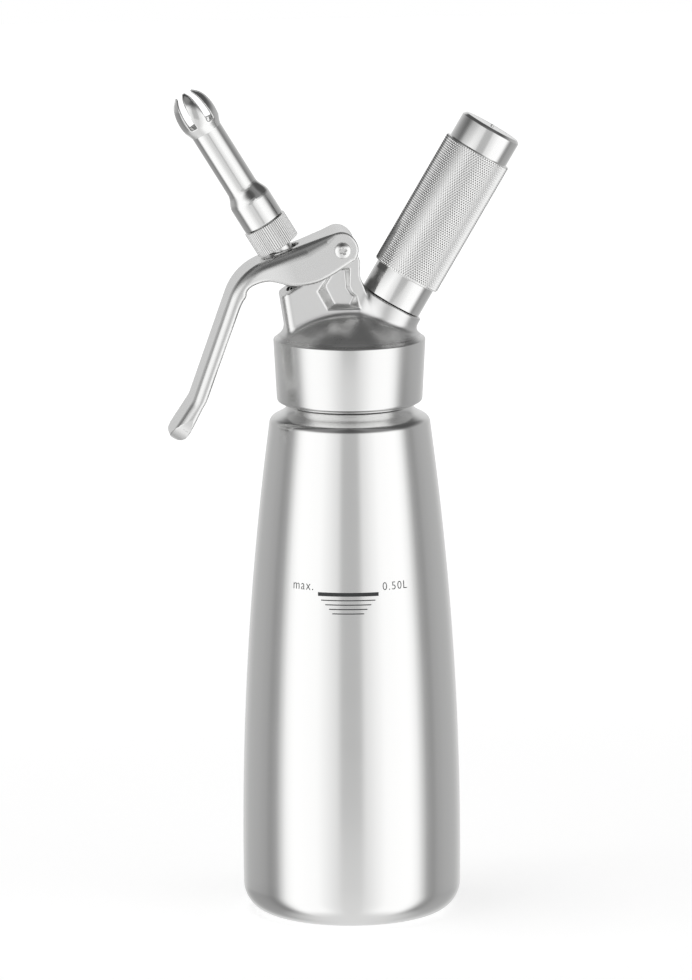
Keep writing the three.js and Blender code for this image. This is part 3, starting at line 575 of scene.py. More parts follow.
def dress(
    tree: Tree, shader: bpy.types.Node, colour: Wire, rough: Wire, relief: Wire, depth: float
) -> None:
    """Links a finish's colour, roughness and relief to its shader.

    Args:
        tree: The material's tree.
        shader: Its Principled shader.
        colour: A Mix node whose result is the colour.
        rough: The roughness.
        relief: Heights from 0 to 1.
        depth: What a height of 1 is in millimetres.
    """
    bump = tree.add("ShaderNodeBump", {}, {"Strength": 1.0, "Distance": depth * MM, "Height": relief})
    tree.nodes.links.new(colour.socket.node.outputs[2], shader.inputs["Base Color"])
    rough.into(shader.inputs["Roughness"])
    bump.into(shader.inputs["Normal"])


@dataclass(frozen=True)
class Metal:
    """A metal finish: colour, gloss and the marks that its working left."""

    name: str
    slot: str
    colour: tuple[float, float, float]
    roughness: float
    grain: Grain
    depth: float
    shade_swing: float = 0.03
    place: Place = UPRIGHT
    roughness_swing: float = 0.06
    patch: float = 18.0

    def material(self) -> bpy.types.Material:
        """Builds the material.

        Returns:
            A steel or brass with worked grain in colour, gloss and relief.
        """
        made, tree, shader = new_material(self.name)
        grain = self.marks(tree, self.grain.value, 3.0)
        patches = self.marks(tree, (self.patch,) * 3, 2.0)
        shade = grain * self.shade_swing + patches * self.shade_swing + (1 - self.shade_swing)
        tint = tree.add("ShaderNodeCombineColor", {}, {0: shade, 1: shade, 2: shade})
        mixed = {0: 1.0, 6: (*self.colour, 1), 7: tint}
        colour = tree.add("ShaderNodeMix", {"data_type": "RGBA", "blend_type": "MULTIPLY"}, mixed)
        rough = grain * self.roughness_swing + patches * self.roughness_swing
        dress(tree, shader, colour, rough + (self.roughness - self.roughness_swing), grain, self.depth)
        shader.inputs["Metallic"].default_value = 1.0
        return made

    def marks(self, tree: Tree, lengths: tuple[float, float, float], detail: float) -> Wire:
        """Adds noise drawn out along the place's axes.

        Args:
            tree: The material's tree.
            lengths: Lengths of its features along the three axes.
            detail: How many finer layers it has.

        Returns:
            The noise.
        """
        sockets = {
            "Vector": tree.add("ShaderNodeTexCoord").named("Object"),
            "Location": (self.place.x * MM, 0, self.place.z * MM),
            "Rotation": (0, math.radians(self.place.lean), 0),
            "Scale": tuple(length * MM for length in lengths),
        }
        turned_back = tree.add("ShaderNodeMapping", {"vector_type": "TEXTURE"}, sockets)
        return tree.add("ShaderNodeTexNoise", {}, {"Vector": turned_back, "Scale": 1.0, "Detail": detail})


@dataclass(frozen=True)
class Soft:
    """A matt finish for rubber, silicone and printed marks."""

    name: str
    slot: str
    colour: tuple[float, float, float]
    roughness: float
    depth: float = 0.01
    grain: float = 0.4
    darkest: float = 0.86
    roughness_swing: float = 0.1

    def material(self) -> bpy.types.Material:
        """Builds the material.

        Returns:
            A matt surface with fine mottling and relief.
        """
        made, tree, shader = new_material(self.name)
        place = tree.add("ShaderNodeTexCoord").named("Object")
        sockets = {"Vector": place, "Scale": 1 / (self.grain * MM), "Detail": 2.0}
        noise = tree.add("ShaderNodeTexNoise", {}, sockets)
        dark = tuple(self.darkest * c for c in self.colour)
        mixed = {0: noise, 6: (*dark, 1), 7: (*self.colour, 1)}
        colour = tree.add("ShaderNodeMix", {"data_type": "RGBA"}, mixed)
        rough = noise * self.roughness_swing + (self.roughness - self.roughness_swing / 2)
        dress(tree, shader, colour, rough, noise, self.depth)
        return made


Finish = Metal | Soft


def steel(name: str, roughness: float, grain: Grain, place: Place = UPRIGHT, **other: float) -> Metal:
    """Returns a finish of stainless steel worked in one of the known ways."""
    settings = {"slot": "polished_steel", "colour": (0.79, 0.79, 0.785), "depth": 0.002, **other}
    return Metal(name, roughness=roughness, grain=grain, place=place, **settings)


BRUSHED = {"depth": 0.0004, "shade_swing": 0.012}
BOTTLE_STEEL = steel("brushed_bottle_steel", 0.17, Grain.TURNED, slot="bottle_steel", **BRUSHED)
COLLAR_STEEL = steel("brushed_collar_steel", 0.24, Grain.TURNED, slot="cast_steel", **BRUSHED)
CAST_STEEL = steel("satin_cast_steel", 0.3, Grain.BLASTED, slot="cast_steel", depth=0.004)
LEVER_STEEL = steel("satin_lever_steel", 0.27, Grain.BLASTED, slot="cast_steel")
VALVE_STEEL = steel("polished_valve_steel", 0.14, Grain.POLISHED, VALVE, depth=0.004)
SCREW_STEEL = steel("polished_screw_steel", 0.16, Grain.POLISHED, PIVOT)
ADAPTER_STEEL = steel("fluted_adapter_steel", 0.24, Grain.BLASTED, VALVE)
HOLDER_STEEL = steel("turned_holder_steel", 0.15, Grain.TURNED, CHARGER, depth=0.0006)
KNURL_STEEL = steel("knurled_holder_steel", 0.15, Grain.BLASTED, CHARGER)
SPRING_STEEL = steel("spring_wire_steel", 0.22, Grain.POLISHED, VALVE, slot="spring_steel")
CHARGER_STEEL = steel(
    "plated_charger_steel", 0.2, Grain.TURNED, CHARGER, slot="charger_steel", depth=0.0005
)
BRASS = Metal("turned_brass", "brass", (0.78, 0.58, 0.28), 0.28, Grain.TURNED, 0.001, place=CHARGER)
RUBBER = Soft("black_rubber", "black_rubber", (0.035, 0.035, 0.038), 0.62)
SILICONE = Soft("pale_silicone", "pale_silicone", (0.72, 0.7, 0.66), 0.5)
MARK_PAINT = Soft("printed_mark_grey", "bottle_steel", (0.045, 0.048, 0.05), 0.5, depth=0.001)

MATERIALS: dict[str, bpy.types.Material] = {}


def material_of(finish: Finish) -> bpy.types.Material:
    """Returns a finish's material, built once."""
    if finish.name not in MATERIALS:
        MATERIALS[finish.name] = finish.material()
    return MATERIALS[finish.name]


# Pieces

@dataclass(frozen=True)
class Seat:
    """What a piece stands for: its CAD node and the body that it rides on."""

    node: str
    body: str


def add_object(name: str, data: bpy.types.ID) -> bpy.types.Object:
    """Returns a new object of the scene with that data."""
    made = bpy.data.objects.new(name, data)
    bpy.context.scene.collection.objects.link(made)
    return made


def settle(piece: bpy.types.Object, seat: Seat, finish: Finish) -> bpy.types.Object:
    """Dresses a finished piece and ties it to its body and node.

    Args:
        piece: The object, its mesh in place.
        seat: Its node and body.
        finish: What its surface is.

    Returns:
        The same object.
    """
    piece.data.materials.clear()
    piece.data.materials.append(material_of(finish))
    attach(piece, seat.body)
    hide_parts(seat.node)
    return piece


def make_piece(
    name: str, shape: Shape, seat: Seat, finish: Finish, place: Place = UPRIGHT, crease: float = 28.0
) -> bpy.types.Object:
    """Makes a piece from a shape.

    Args:
        name: The piece's name.
        shape: Its mesh in the place's frame.
        seat: Its node and body.
        finish: What its surface is.
        place: Where its frame stands.
        crease: Angle in degrees from which an edge stays sharp.

    Returns:
        The piece.
    """
    put = shape.placed(place)
    mesh = bpy.data.meshes.new(name)
    mesh.from_pydata((put.points * MM).tolist(), [], put.quads.tolist() + put.triangles.tolist())
    mesh.shade_smooth()
    if put.normals is None:
        mesh.set_sharp_from_angle(angle=math.radians(crease))
    else:
        mesh.normals_split_custom_set_from_vertices(put.normals.tolist())
    return settle(add_object(name, mesh), seat, finish)


# Geometry Nodes: what winds, and what repeats round an axis

def new_geometry_tree(name: str, lengths: Sequence[str], counts: Sequence[str]) -> tuple[Tree, Wire]:
    """Makes an empty Geometry Nodes tree.

    Args:
        name: The tree's name.
        lengths: Names of its inputs that are numbers.
        counts: Names of its inputs that are whole numbers.

    Returns:
        The tree, with a geometry output, and its inputs.
    """
    nodes = bpy.data.node_groups.new(name, "GeometryNodeTree")
    nodes.interface.new_socket("Geometry", in_out="OUTPUT", socket_type="NodeSocketGeometry")
    kinds = {**dict.fromkeys(lengths, "Float"), **dict.fromkeys(counts, "Int"), "Finish": "Material"}
    for label, kind in kinds.items():
        nodes.interface.new_socket(label, in_out="INPUT", socket_type="NodeSocket" + kind)
    tree = Tree(nodes)
    return tree, tree.add("NodeGroupInput")


def close_geometry_tree(tree: Tree, given: Wire, geometry: Wire) -> Tree:
    """Ends a tree with Realize Instances and Set Material.

    Args:
        tree: The tree.
        given: Its inputs.
        geometry: What it has made.

    Returns:
        The same tree.
    """
    real = tree.add("GeometryNodeRealizeInstances", {}, {"Geometry": geometry})
    dressed = tree.add("GeometryNodeSetMaterial", {}, {"Geometry": real, "Material": given.named("Finish")})
    tree.add("NodeGroupOutput", {}, {0: dressed})
    return tree


def winding_tree() -> Tree:
    """Makes the tree that winds a four-sided or round section along a right-hand helix.

    Returns:
        The tree. A Crest of zero gives a round section whose width is Foot.
    """
    lengths = ("Radius", "Pitch", "Turns", "Start", "Foot", "Crest", "Height")
    tree, given = new_geometry_tree("winding", lengths, ("Steps",))
    radius, turns, foot, crest = (given.named(n) for n in ("Radius", "Turns", "Foot", "Crest"))
    spiral = tree.add("GeometryNodeCurveSpiral", {}, {
        "Resolution": given.named("Steps"), "Rotations": turns,
        "Start Radius": radius, "End Radius": radius,
        "Height": given.named("Pitch") * turns, "Reverse": False,
    })
    lift = tree.add("ShaderNodeCombineXYZ", {}, {2: given.named("Start")})
    raised = tree.add("GeometryNodeTransform", {}, {"Geometry": spiral, "Translation": lift})
    upright = tree.add("GeometryNodeSetCurveNormal", {"mode": "Z_UP"}, {"Curve": raised})
    ridge = tree.add("GeometryNodeCurvePrimitiveQuadrilateral", {"mode": "TRAPEZOID"}, {
        "Bottom Width": foot, "Top Width": crest, "Offset": 0.0, "Height": given.named("Height"),
    })
    wire = tree.add("GeometryNodeCurvePrimitiveCircle", {}, {"Resolution": 12, "Radius": foot * 0.5})
    is_ridge = tree.add("FunctionNodeCompare", {"operation": "GREATER_THAN"}, {0: crest, 1: 1e-9})
    sections = {"Switch": is_ridge, "False": wire, "True": ridge}
    section = tree.add("GeometryNodeSwitch", {"input_type": "GEOMETRY"}, sections)
    swept = {"Curve": upright, "Profile Curve": section, "Fill Caps": True}
    return close_geometry_tree(tree, given, tree.add("GeometryNodeCurveToMesh", {}, swept))


class Tooth(Enum):
    """What stands round an axis."""

    POINT = "pointed_teeth"
    RIDGE = "straight_ridges"


def teeth_tree(tooth: Tooth) -> Tree:
    """Makes the tree that sets teeth on a cylinder, in rows that step half a tooth.

    Args:
        tooth: Their shape. Points stick outwards; ridges run along the axis and are round outside.

    Returns:
        The tree. Rows of teeth are Rise apart.
    """
    lengths = ("Radius", "Start", "Rise", "Tooth Width", "Tooth Length", "Tooth Height")
    tree, given = new_geometry_tree(tooth.value, lengths, ("Around", "Rows"))
    around, radius = given.named("Around"), given.named("Radius")
    width, length, height = (given.named("Tooth " + n) for n in ("Width", "Length", "Height"))
    points = tree.add("GeometryNodePoints", {}, {"Count": around * given.named("Rows")})
    index = tree.add("GeometryNodeInputIndex")
    row = index.maths("FLOOR", (index + 0.5) / around)
    half_step = row.maths("MODULO", row, 2.0) * 0.5
    angle = (index - row * around + half_step) * TURN / around
    across, along = (angle.maths(name, angle) * radius for name in ("COSINE", "SINE"))
    spot = tree.join(across, along, given.named("Start") + row * given.named("Rise"))
    set_out = tree.add("GeometryNodeSetPosition", {}, {"Geometry": points, "Position": spot})
    if tooth is Tooth.POINT:
        body = {"Vertices": 4, "Radius Top": 0.0, "Radius Bottom": 1.0, "Depth": 1.0}
        solid = tree.add("GeometryNodeMeshCone", {}, body)
        size, turn = tree.join(length * 0.5, width * 0.5, height), TURN / 4
    else:
        body = {"Vertices": 12, "Radius": 1.0, "Depth": 1.0}
        solid = tree.add("GeometryNodeMeshCylinder", {}, body)
        size, turn = tree.join(height * 0.5, width * 0.5, length - height * 0.5), 0.0
    shaped = {"Geometry": solid, "Rotation": (0, turn, 0), "Scale": size}
    one = tree.add("GeometryNodeTransform", {}, shaped)
    facing = tree.add("ShaderNodeCombineXYZ", {}, {2: angle})
    placed = {"Points": set_out, "Instance": one, "Rotation": facing}
    return close_geometry_tree(tree, given, tree.add("GeometryNodeInstanceOnPoints", {}, placed))


def grow(
    name: str, tree: Tree, inputs: dict[str, float], seat: Seat, finish: Finish, place: Place
) -> bpy.types.Object:
    """Runs a Geometry Nodes tree and keeps its result as a plain mesh.

    Args:
        name: The piece's name.
        tree: The tree.
        inputs: Values of its named inputs, lengths in millimetres.
        seat: The piece's node and body.
        finish: What its surface is.
        place: Where its axis stands.

    Returns:
        The piece, its mesh in place, with no modifier.
    """
    seed = add_object(name + "_seed", bpy.data.meshes.new(name + "_seed"))
    modifier = seed.modifiers.new("grow", "NODES")
    modifier.node_group = tree.nodes
    sockets = {i.name: i for i in tree.nodes.interface.items_tree if i.in_out == "INPUT"}
    for label, value in inputs.items():
        is_length = label != "Turns" and sockets[label].socket_type == "NodeSocketFloat"
        modifier[sockets[label].identifier] = value * MM if is_length else value
    modifier[sockets["Finish"].identifier] = material_of(finish)
    seed.update_tag()
    graph = bpy.context.evaluated_depsgraph_get()
    mesh = bpy.data.meshes.new_from_object(seed.evaluated_get(graph))
    bpy.data.objects.remove(seed)
    turn = Matrix([list(row) for row in place.turn()]).to_4x4()
    mesh.transform(Matrix.Translation((place.x * MM, 0, place.z * MM)) @ turn)
    clean(mesh)
    return settle(add_object(name, mesh), seat, finish)


def clean(mesh: bpy.types.Mesh) -> None:
    """Merges a mesh's doubled points and turns its faces outwards.

    Args:
        mesh: The mesh.
    """
    work = bmesh.new()
    work.from_mesh(mesh)
    bmesh.ops.remove_doubles(work, verts=work.verts, dist=1e-7)
    bmesh.ops.recalc_face_normals(work, faces=work.faces)
    work.to_mesh(mesh)
    work.free()


WINDING = winding_tree()
TEETH = teeth_tree(Tooth.POINT)
FLUTES = teeth_tree(Tooth.RIDGE)


@dataclass(frozen=True)
class Thread:
    """A screw thread's form, shared by the two pieces that it joins."""

    pitch: float
    turns: float
    height: float
    foot: float
    crest: float
    steps: int = 72

    def piece(
        self, name: str, wall: float, start: float, seat: Seat, finish: Finish, place: Place = UPRIGHT,
        inward: bool = False, sunk: float = 0.3,
    ) -> bpy.types.Object:
        """Makes the ridge on one of the pieces.

        Args:
            name: The ridge's name.
            wall: Radius of the wall that it stands on.
            start: Height at which it starts.
            seat: Its node and body.
            finish: What its surface is.
            place: Where its axis stands.
            inward: Whether it stands inside a bore.
            sunk: How deep it reaches into the wall.

        Returns:
            The ridge.
        """
        inputs = {
            "Radius": wall + (-1 if inward else 1) * (self.height - sunk) / 2,
            "Pitch": self.pitch,
            "Turns": self.turns,
            "Start": start,
            "Foot": self.crest if inward else self.foot,
            "Crest": self.foot if inward else self.crest,
            "Height": self.height + sunk,
            "Steps": self.steps,
        }
        return grow(name, WINDING, inputs, seat, finish, place)


NECK_THREAD = Thread(3.2, 2.5, 1.0, 1.4, 0.6)
STEM_THREAD = Thread(1.5, 3.5, 0.7, 0.7, 0.3)
HOLDER_THREAD = Thread(1.75, 3.5, 0.8, 0.8, 0.35)


# Bottle

@dataclass(frozen=True)
class Bottle:
    """The drawn steel bottle with its printed level marks."""

    radius: float = 39.5
    height: float = 206.5
    wall: float = 1.2
    belly_height: float = 25.0
    base_fillet: float = 10.6
    shoulder_width: float = 6.9
    shoulder_fillet: float = 3.2
    shoulder_slope: float = 27.5
    neck_fillet: float = 5.0
    neck_radius: float = 22.3
    neck_length: float = 18.2
    rim_round: float = 0.45
    thread_start: float = 194.2
    level_height: float = 123.0
    level_facing: float = -6.6
    bar_width: float = 21.8
    bar_thickness: float = 1.35
    line_thickness: float = 0.36
    line_chords: tuple[float, ...] = (19.5, 16.5, 13.8, 11.45)
    line_drops: tuple[float, ...] = (2.14, 3.73, 5.33, 6.92)
    bar_steps: int = 24
    word_height: float = 2.85
    word_lift: float = 1.9
    words: tuple[tuple[str, str, float, float], ...] = (
        ("level_word", "max.", -34.2, 1.27), ("level_volume", "0.50L", 22.0, 1.07),
    )
    capital_share: float = 0.73
    word_steps: int = 4
    word_spacing: float = 1.18
    word_thinning: float = 0.035
    print_thickness: float = 0.05
    seat: Seat = Seat("bottle", "bottle")

    def build(self) -> list[bpy.types.Object]:
        """Builds the bottle.

        Returns:
            Its pieces.
        """
        profile = [*self.outline(0.0)[:-1], *self.lip(), *self.outline(self.wall)[-2::-1]]
        thread = ("bottle_thread", self.neck_radius, self.thread_start, self.seat, BOTTLE_STEEL)
        return [
            make_piece("bottle_shell", revolve(profile, LARGE_ROUND), self.seat, BOTTLE_STEEL),
            NECK_THREAD.piece(*thread),
            self.bars(),
            *(self.word(*word) for word in self.words),
        ]

    def lip(self) -> Outline:
        """Draws the rounded rim.

        Returns:
            Its points from outside to inside, none of them above the bottle's height.
        """
        start = self.height - self.rim_round
        rim = arc((self.neck_radius - self.wall / 2, start), self.wall / 2, 0, 180, 8)[1:-1]
        rim = [(self.neck_radius, start), *rim, (self.neck_radius - self.wall, start)]
        return [(r, min(z, self.height)) for r, z in rim]

    def belly(self, height: float) -> float:
        """Returns the outer radius at a height below the shoulder."""
        share = (height - self.belly_height) / (self.corner()[1] - self.belly_height)
        return self.radius - (self.radius - self.neck_radius - self.shoulder_width) * share ** 2

    def corner(self) -> tuple[float, float]:
        """Places the shoulder's round.

        Returns:
            Its centre's radius and height.
        """
        turn = math.radians(90 - self.shoulder_slope)
        neck_base = self.height - self.neck_length
        slope_top = (
            self.neck_radius + self.neck_fillet - self.neck_fillet * math.cos(turn),
            neck_base - self.neck_fillet * math.sin(turn),
        )
        across = self.neck_radius + self.shoulder_width - self.shoulder_fillet
        foot = across + self.shoulder_fillet * math.cos(turn)
        drop = math.tan(math.radians(self.shoulder_slope)) * (foot - slope_top[0])
        return across, slope_top[1] - drop - self.shoulder_fillet * math.sin(turn)

    def outline(self, inset: float) -> Outline:
        """Draws the profile from the axis to the rim.

        Args:
            inset: How far it is moved in.

        Returns:
            Its points.
        """
        turn = 90 - self.shoulder_slope
        corner = self.corner()
        base = (self.belly(self.base_fillet) - self.base_fillet, self.base_fillet)
        heights = np.linspace(self.base_fillet, corner[1], 40)[:-1]
        neck = (self.neck_radius + self.neck_fillet, self.height - self.neck_length)
        return [
            (0.0, inset),
            *arc(base, self.base_fillet - inset, -90, 0, 14)[:-1],
            *((self.belly(z) - inset, z) for z in heights),
            *arc(corner, self.shoulder_fillet - inset, 0, turn, 8),
            *arc(neck, self.neck_fillet + inset, 180 + turn, 180, 8),
            (self.neck_radius - inset, self.height),
        ]

    def wrap(self, across: np.ndarray, up: np.ndarray, out: np.ndarray, facing: float) -> np.ndarray:
        """Lays a flat drawing on the bottle's side.

        Args:
            across: Distances along the surface from the drawing's middle.
            up: Heights above the base.
            out: Distances out of the surface.
            facing: Where the middle is, in degrees from the front.

        Returns:
            The points on the bottle.
        """
        radius = np.array([self.belly(z) for z in up])
        angle = math.radians(facing) + across / radius
        return np.column_stack([(radius + out) * np.sin(angle), -(radius + out) * np.cos(angle), up])

    def bars(self) -> bpy.types.Object:
        """Prints the thick level bar and the thin lines below it.

        Returns:
            All of them as one piece.
        """
        rows = [(self.bar_width, self.bar_thickness, self.level_height)]
        for chord, drop in zip(self.line_chords, self.line_drops):
            rows.append((chord, self.line_thickness, self.level_height - drop))
        skin, steps, ring = self.print_thickness, self.bar_steps, np.arange(4)
        points, quads = [], []
        for number, (chord, thickness, level) in enumerate(rows):
            half = self.belly(level) * math.asin(chord / 2 / self.belly(level))
            across = np.repeat(np.linspace(-half, half, steps + 1), 4)
            up = np.tile(level + thickness * np.array([-0.5, 0.5, 0.5, -0.5]), steps + 1)
            out = np.tile(np.array([skin, skin, -skin, -skin]), steps + 1)
            points.append(self.wrap(across, up, out, self.level_facing))
            start = 4 * (steps + 1) * number
            for first in range(start, start + 4 * steps, 4):
                low, high = first + ring, first + 4 + ring
                quads.append(np.stack([low, high, np.roll(high, -1), np.roll(low, -1)], 1))
            quads.append(start + np.array([[0, 1, 2, 3]]))
            quads.append(start + 4 * steps + np.array([[3, 2, 1, 0]]))
        shape = Shape(np.vstack(points), np.vstack(quads), NO_TRIANGLES)
        return make_piece("level_bars", shape, self.seat, MARK_PAINT)

    def word(self, name: str, text: str, facing: float, tallness: float) -> bpy.types.Object:
        """Prints a word on the bottle's side.

        Args:
            name: The piece's name.
            text: What it says.
            facing: Where its middle is, in degrees from the front.
            tallness: How much taller than the font its letters are.

        Returns:
            The wrapped word.
        """
        curve = bpy.data.curves.new(name, "FONT")
        curve.body = text
        curve.align_x = "CENTER"
        curve.size = self.word_height / self.capital_share
        curve.space_character = self.word_spacing
        curve.offset = -self.word_thinning
        curve.extrude = self.print_thickness
        curve.resolution_u = self.word_steps
        source = add_object(name + "_curve", curve)
        graph = bpy.context.evaluated_depsgraph_get()
        mesh = bpy.data.meshes.new_from_object(source.evaluated_get(graph))
        bpy.data.objects.remove(source)
        flat = np.zeros(len(mesh.vertices) * 3)
        mesh.vertices.foreach_get("co", flat)
        flat = flat.reshape(-1, 3)
        base = self.level_height - self.bar_thickness / 2 + self.word_lift
        across = flat[:, 0] - (flat[:, 0].min() + flat[:, 0].max()) / 2
        put = self.wrap(across, flat[:, 1] * tallness + base, flat[:, 2], facing) * MM
        mesh.vertices.foreach_set("co", put.ravel())
        clean(mesh)
        return settle(add_object(name, mesh), self.seat, MARK_PAINT)


# Head

@dataclass(frozen=True)
class Head:
    """The cast head: collar, dome, valve boss, charger boss and the block that carries the lever."""

    top: float = 211.0
    bottom: float = 187.0
    bore: float = 23.7
    wall: float = 2.6
    flare: float = 1.2
    chamfer: float = 2.3
    chamfer_height: float = 1.2
    rim_round: float = 0.7
    lap: float = 1.2
    lap_height: float = 0.03
    ceiling: float = 209.6
    mouth: float = 20.0
    dome_rise: float = 10.4
    dome_wall: float = 3.2
    half_width: float = 9.0
    pocket_depth: float = 4.2
    valve_foot: tuple[float, float] = (-12.6, 9.6)
    charger_foot: float = 11.0
    charger_radius: float = 12.6
    corner_round: float = 3.2
    edge_round: float = 0.5
    fillet: float = 1.1
    ear_radius: float = 4.6
    column_width: float = 6.5
    spring_bore: float = 6.2
    spring_depth: float = 11.0
    stem_bore: float = 4.5
    seat_depth: float = 20.0
    spigot_radius: float = 9.1
    spigot_height: float = 9.2
    neck_bore: float = 4.7
    gas_floor: float = -9.0
    barrel_hole: float = 2.3
    collar_thread_start: float = 192.6
    spigot_thread_start: float = 2.5
    foot_round: float = 0.15
    side_round: float = 0.8
    roof_depths: tuple[float, float] = (0.6, 0.4)
    recess_width: float = 2.0
    recess_height: float = 0.8
    floor_lift: float = 0.3
    guide_wall: float = 2.6
    guide_length: float = 7.0
    throat_wall: float = 2.0
    throat_top: float = -3.0
    inner_fillet: float = 0.4
    spigot_round: float = 0.6
    gas_hole: float = 1.6
    bore_tops: tuple[float, float] = (30.0, 20.0)
    bore_overruns: tuple[float, float] = (5.0, 1.0)
    bore_edges: tuple[float, ...] = (0.35, 0.3, 0.4, 0.2)
    foot_sunk: float = 1.0
    column_foot: tuple[float, float] = (0.3, 0.7)
    column_round: float = 1.5
    boss_sunk: float = 2.0
    boss_run: tuple[float, float] = (-0.5, 1.6)
    pocket_reach: float = 17.4
    pocket_wall_share: float = 0.85
    pocket_fillet: float = 0.4
    pocket_edge: Pairs = (
        (0.49, 0.35), (-0.185, 0.355), (-0.11, 0.49), (-0.02, 0.535), (0.04, 0.605),
        (0.025, 0.795), (0.355, 0.795), (0.585, 0.625), (0.695, 0.545),
    )
    pocket_floor: Pairs = (
        (0.33, 0.385), (0.025, 0.38), (-0.075, 0.47), (0.005, 0.5), (0.08, 0.565),
        (0.115, 0.765), (0.32, 0.765), (0.515, 0.605), (0.51, 0.575),
    )
    margins: tuple[float, float] = (2.0, 1.0)
    pitch: float = 0.45
    seat: Seat = Seat("head", "head")

    def build(self) -> list[bpy.types.Object]:
        """Builds the head.

        Returns:
            Its pieces.
        """
        beside, above = self.margins
        reach = self.rim() + beside
        low = (-reach, -reach, self.top - self.seat_depth)
        high = (reach, reach, PIVOT.z + self.ear_radius + above)
        collar = revolve(self.collar(), LARGE_ROUND)
        inner, outer = self.collar_thread_start, self.spigot_thread_start
        collar_thread = ("collar_thread", self.bore, inner, self.seat, COLLAR_STEEL)
        spigot_thread = ("spigot_thread", self.spigot_radius, outer, self.seat, CAST_STEEL, CHARGER)
        return [
            make_piece("head_collar", collar, self.seat, COLLAR_STEEL, crease=20),
            make_piece("head_casting", cast(self.casting(), low, high, self.pitch), self.seat, CAST_STEEL),
            NECK_THREAD.piece(*collar_thread, inward=True),
            HOLDER_THREAD.piece(*spigot_thread),
        ]

    def rim(self) -> float:
        """Returns the radius where the dome starts."""
        return self.bore + self.wall + self.flare - self.rim_round

    def sphere(self) -> tuple[float, float]:
        """Returns the dome's centre height and radius."""
        radius = (self.rim() ** 2 + self.dome_rise ** 2) / (2 * self.dome_rise)
        return self.top + self.dome_rise - radius, radius

    def collar(self) -> Outline:
        """Draws the collar.

        Returns:
            Its profile, whose top laps over the edge of the dome.
        """
        side = self.bore + self.wall
        centre, radius = self.sphere()
        outer = soften([
            (self.bore, self.bottom),
            (side - self.chamfer, self.bottom, self.foot_round),
            (side, self.bottom + self.chamfer_height, self.side_round),
            (self.rim() + self.rim_round, self.top - self.rim_round),
        ])
        rim = math.degrees(math.asin(self.rim() / radius))
        lap = math.degrees(math.asin((self.rim() - self.lap) / radius))
        recess, roof = self.mouth + self.recess_width, self.ceiling + self.recess_height
        under_lap, under_dome = self.roof_depths
        return [
            *outer,
            *arc((self.rim(), self.top - self.rim_round), self.rim_round, 0, 90 - rim, 6)[1:],
            *arc((0, centre), radius + self.lap_height, 90 - rim, 90 - lap, 3)[1:],
            (self.rim() - self.lap, self.top - under_lap),
            (recess, self.top - under_dome),
            (recess, roof),
            (self.mouth, roof),
            (self.mouth, self.ceiling),
            (self.bore, self.ceiling),
        ]

    def casting(self) -> Form:
        """Forms the casting above the collar.

        Returns:
            The solid, with its bores.
        """
        centre, radius = self.sphere()
        floor = Form(lambda p: self.ceiling + self.floor_lift - p[:, 2])
        dome = ball(centre, radius).meet(floor)
        dome = dome.meet(round_bar(UPRIGHT, self.rim() - 0.5 * self.lap, 0, 2 * self.top))
        body = dome.join(self.block(), self.fillet).join(self.charger_boss().meet(floor), self.fillet)
        body = body.cut(self.pockets(), self.edge_round).cut(ball(centre, radius - self.dome_wall))
        foot, wall = -self.seat_depth, self.throat_wall
        guide = round_bar(VALVE, self.stem_bore + self.guide_wall, foot, foot + self.guide_length)
        throat = round_bar(CHARGER, self.neck_bore + wall, self.gas_floor - wall, self.throat_top)
        spigot = soften([
            (0, self.throat_top), (self.spigot_radius, self.throat_top),
            (self.spigot_radius, self.spigot_height, self.spigot_round), (0, self.spigot_height),
        ])
        body = body.join(guide.join(throat), self.inner_fillet).join(turned(spigot, CHARGER))
        valve_top, charger_top = self.bore_tops
        past, into = self.bore_overruns
        bores = [
            (VALVE, self.spring_bore, -self.spring_depth, valve_top),
            (VALVE, self.stem_bore, foot - past, -self.spring_depth + into),
            (CHARGER, self.neck_bore, self.gas_floor, charger_top),
            (CHARGER, self.gas_hole, self.gas_floor - past, self.gas_floor + into),
        ]
        for bore, edge in zip(bores, self.bore_edges):
            body = body.cut(round_bar(*bore), edge)
        return body.cut(self.pivot_hole(), EDGE)

    def pivot_hole(self) -> Form:
        """Returns the hole across the ear."""
        return Form(lambda p: np.hypot(p[:, 0] - PIVOT.x, p[:, 2] - PIVOT.z) - self.barrel_hole)

    def block_outline(self) -> Outline:
        """Draws the block's side view.

        Returns:
            Its points in X and Z, from the valve boss's foot to the charger's.
        """
        face = VALVE.turn()
        centre = np.array([VALVE.x, VALVE.z])
        along = np.array([face[0, 0], face[2, 0]])
        left, right = centre - along * self.half_width, centre + along * self.half_width
        ridge = CHARGER.outward(np.array([[-self.charger_radius, 0, 0]]))[0]
        column = PIVOT.x + self.column_width
        lean, overlap = self.column_foot
        foot = self.ceiling - self.foot_sunk
        ear = arc((PIVOT.x, PIVOT.z), self.ear_radius, 180, 30, 24)
        corners = [
            (self.valve_foot[0] - self.valve_foot[1], foot),
            tuple(left),
            tuple(right),
            (PIVOT.x - self.ear_radius, PIVOT.z - self.ear_radius / 2),
            *ear[1:],
            (column, PIVOT.z - self.ear_radius),
            (column - lean, ridge[2] + self.ear_radius, self.column_round),
            (ridge[0] + overlap, ridge[2]),
            (self.charger_foot, foot),
        ]
        return soften(corners, closed=True)

    def block(self) -> Form:
        """Forms the upright block.

        Returns:
            The solid, its left side rounded more than its other edges.
        """
        outline = self.block_outline()
        foot, left = np.array(outline[0]), np.array(outline[1])
        side = (left - foot) / np.linalg.norm(left - foot)

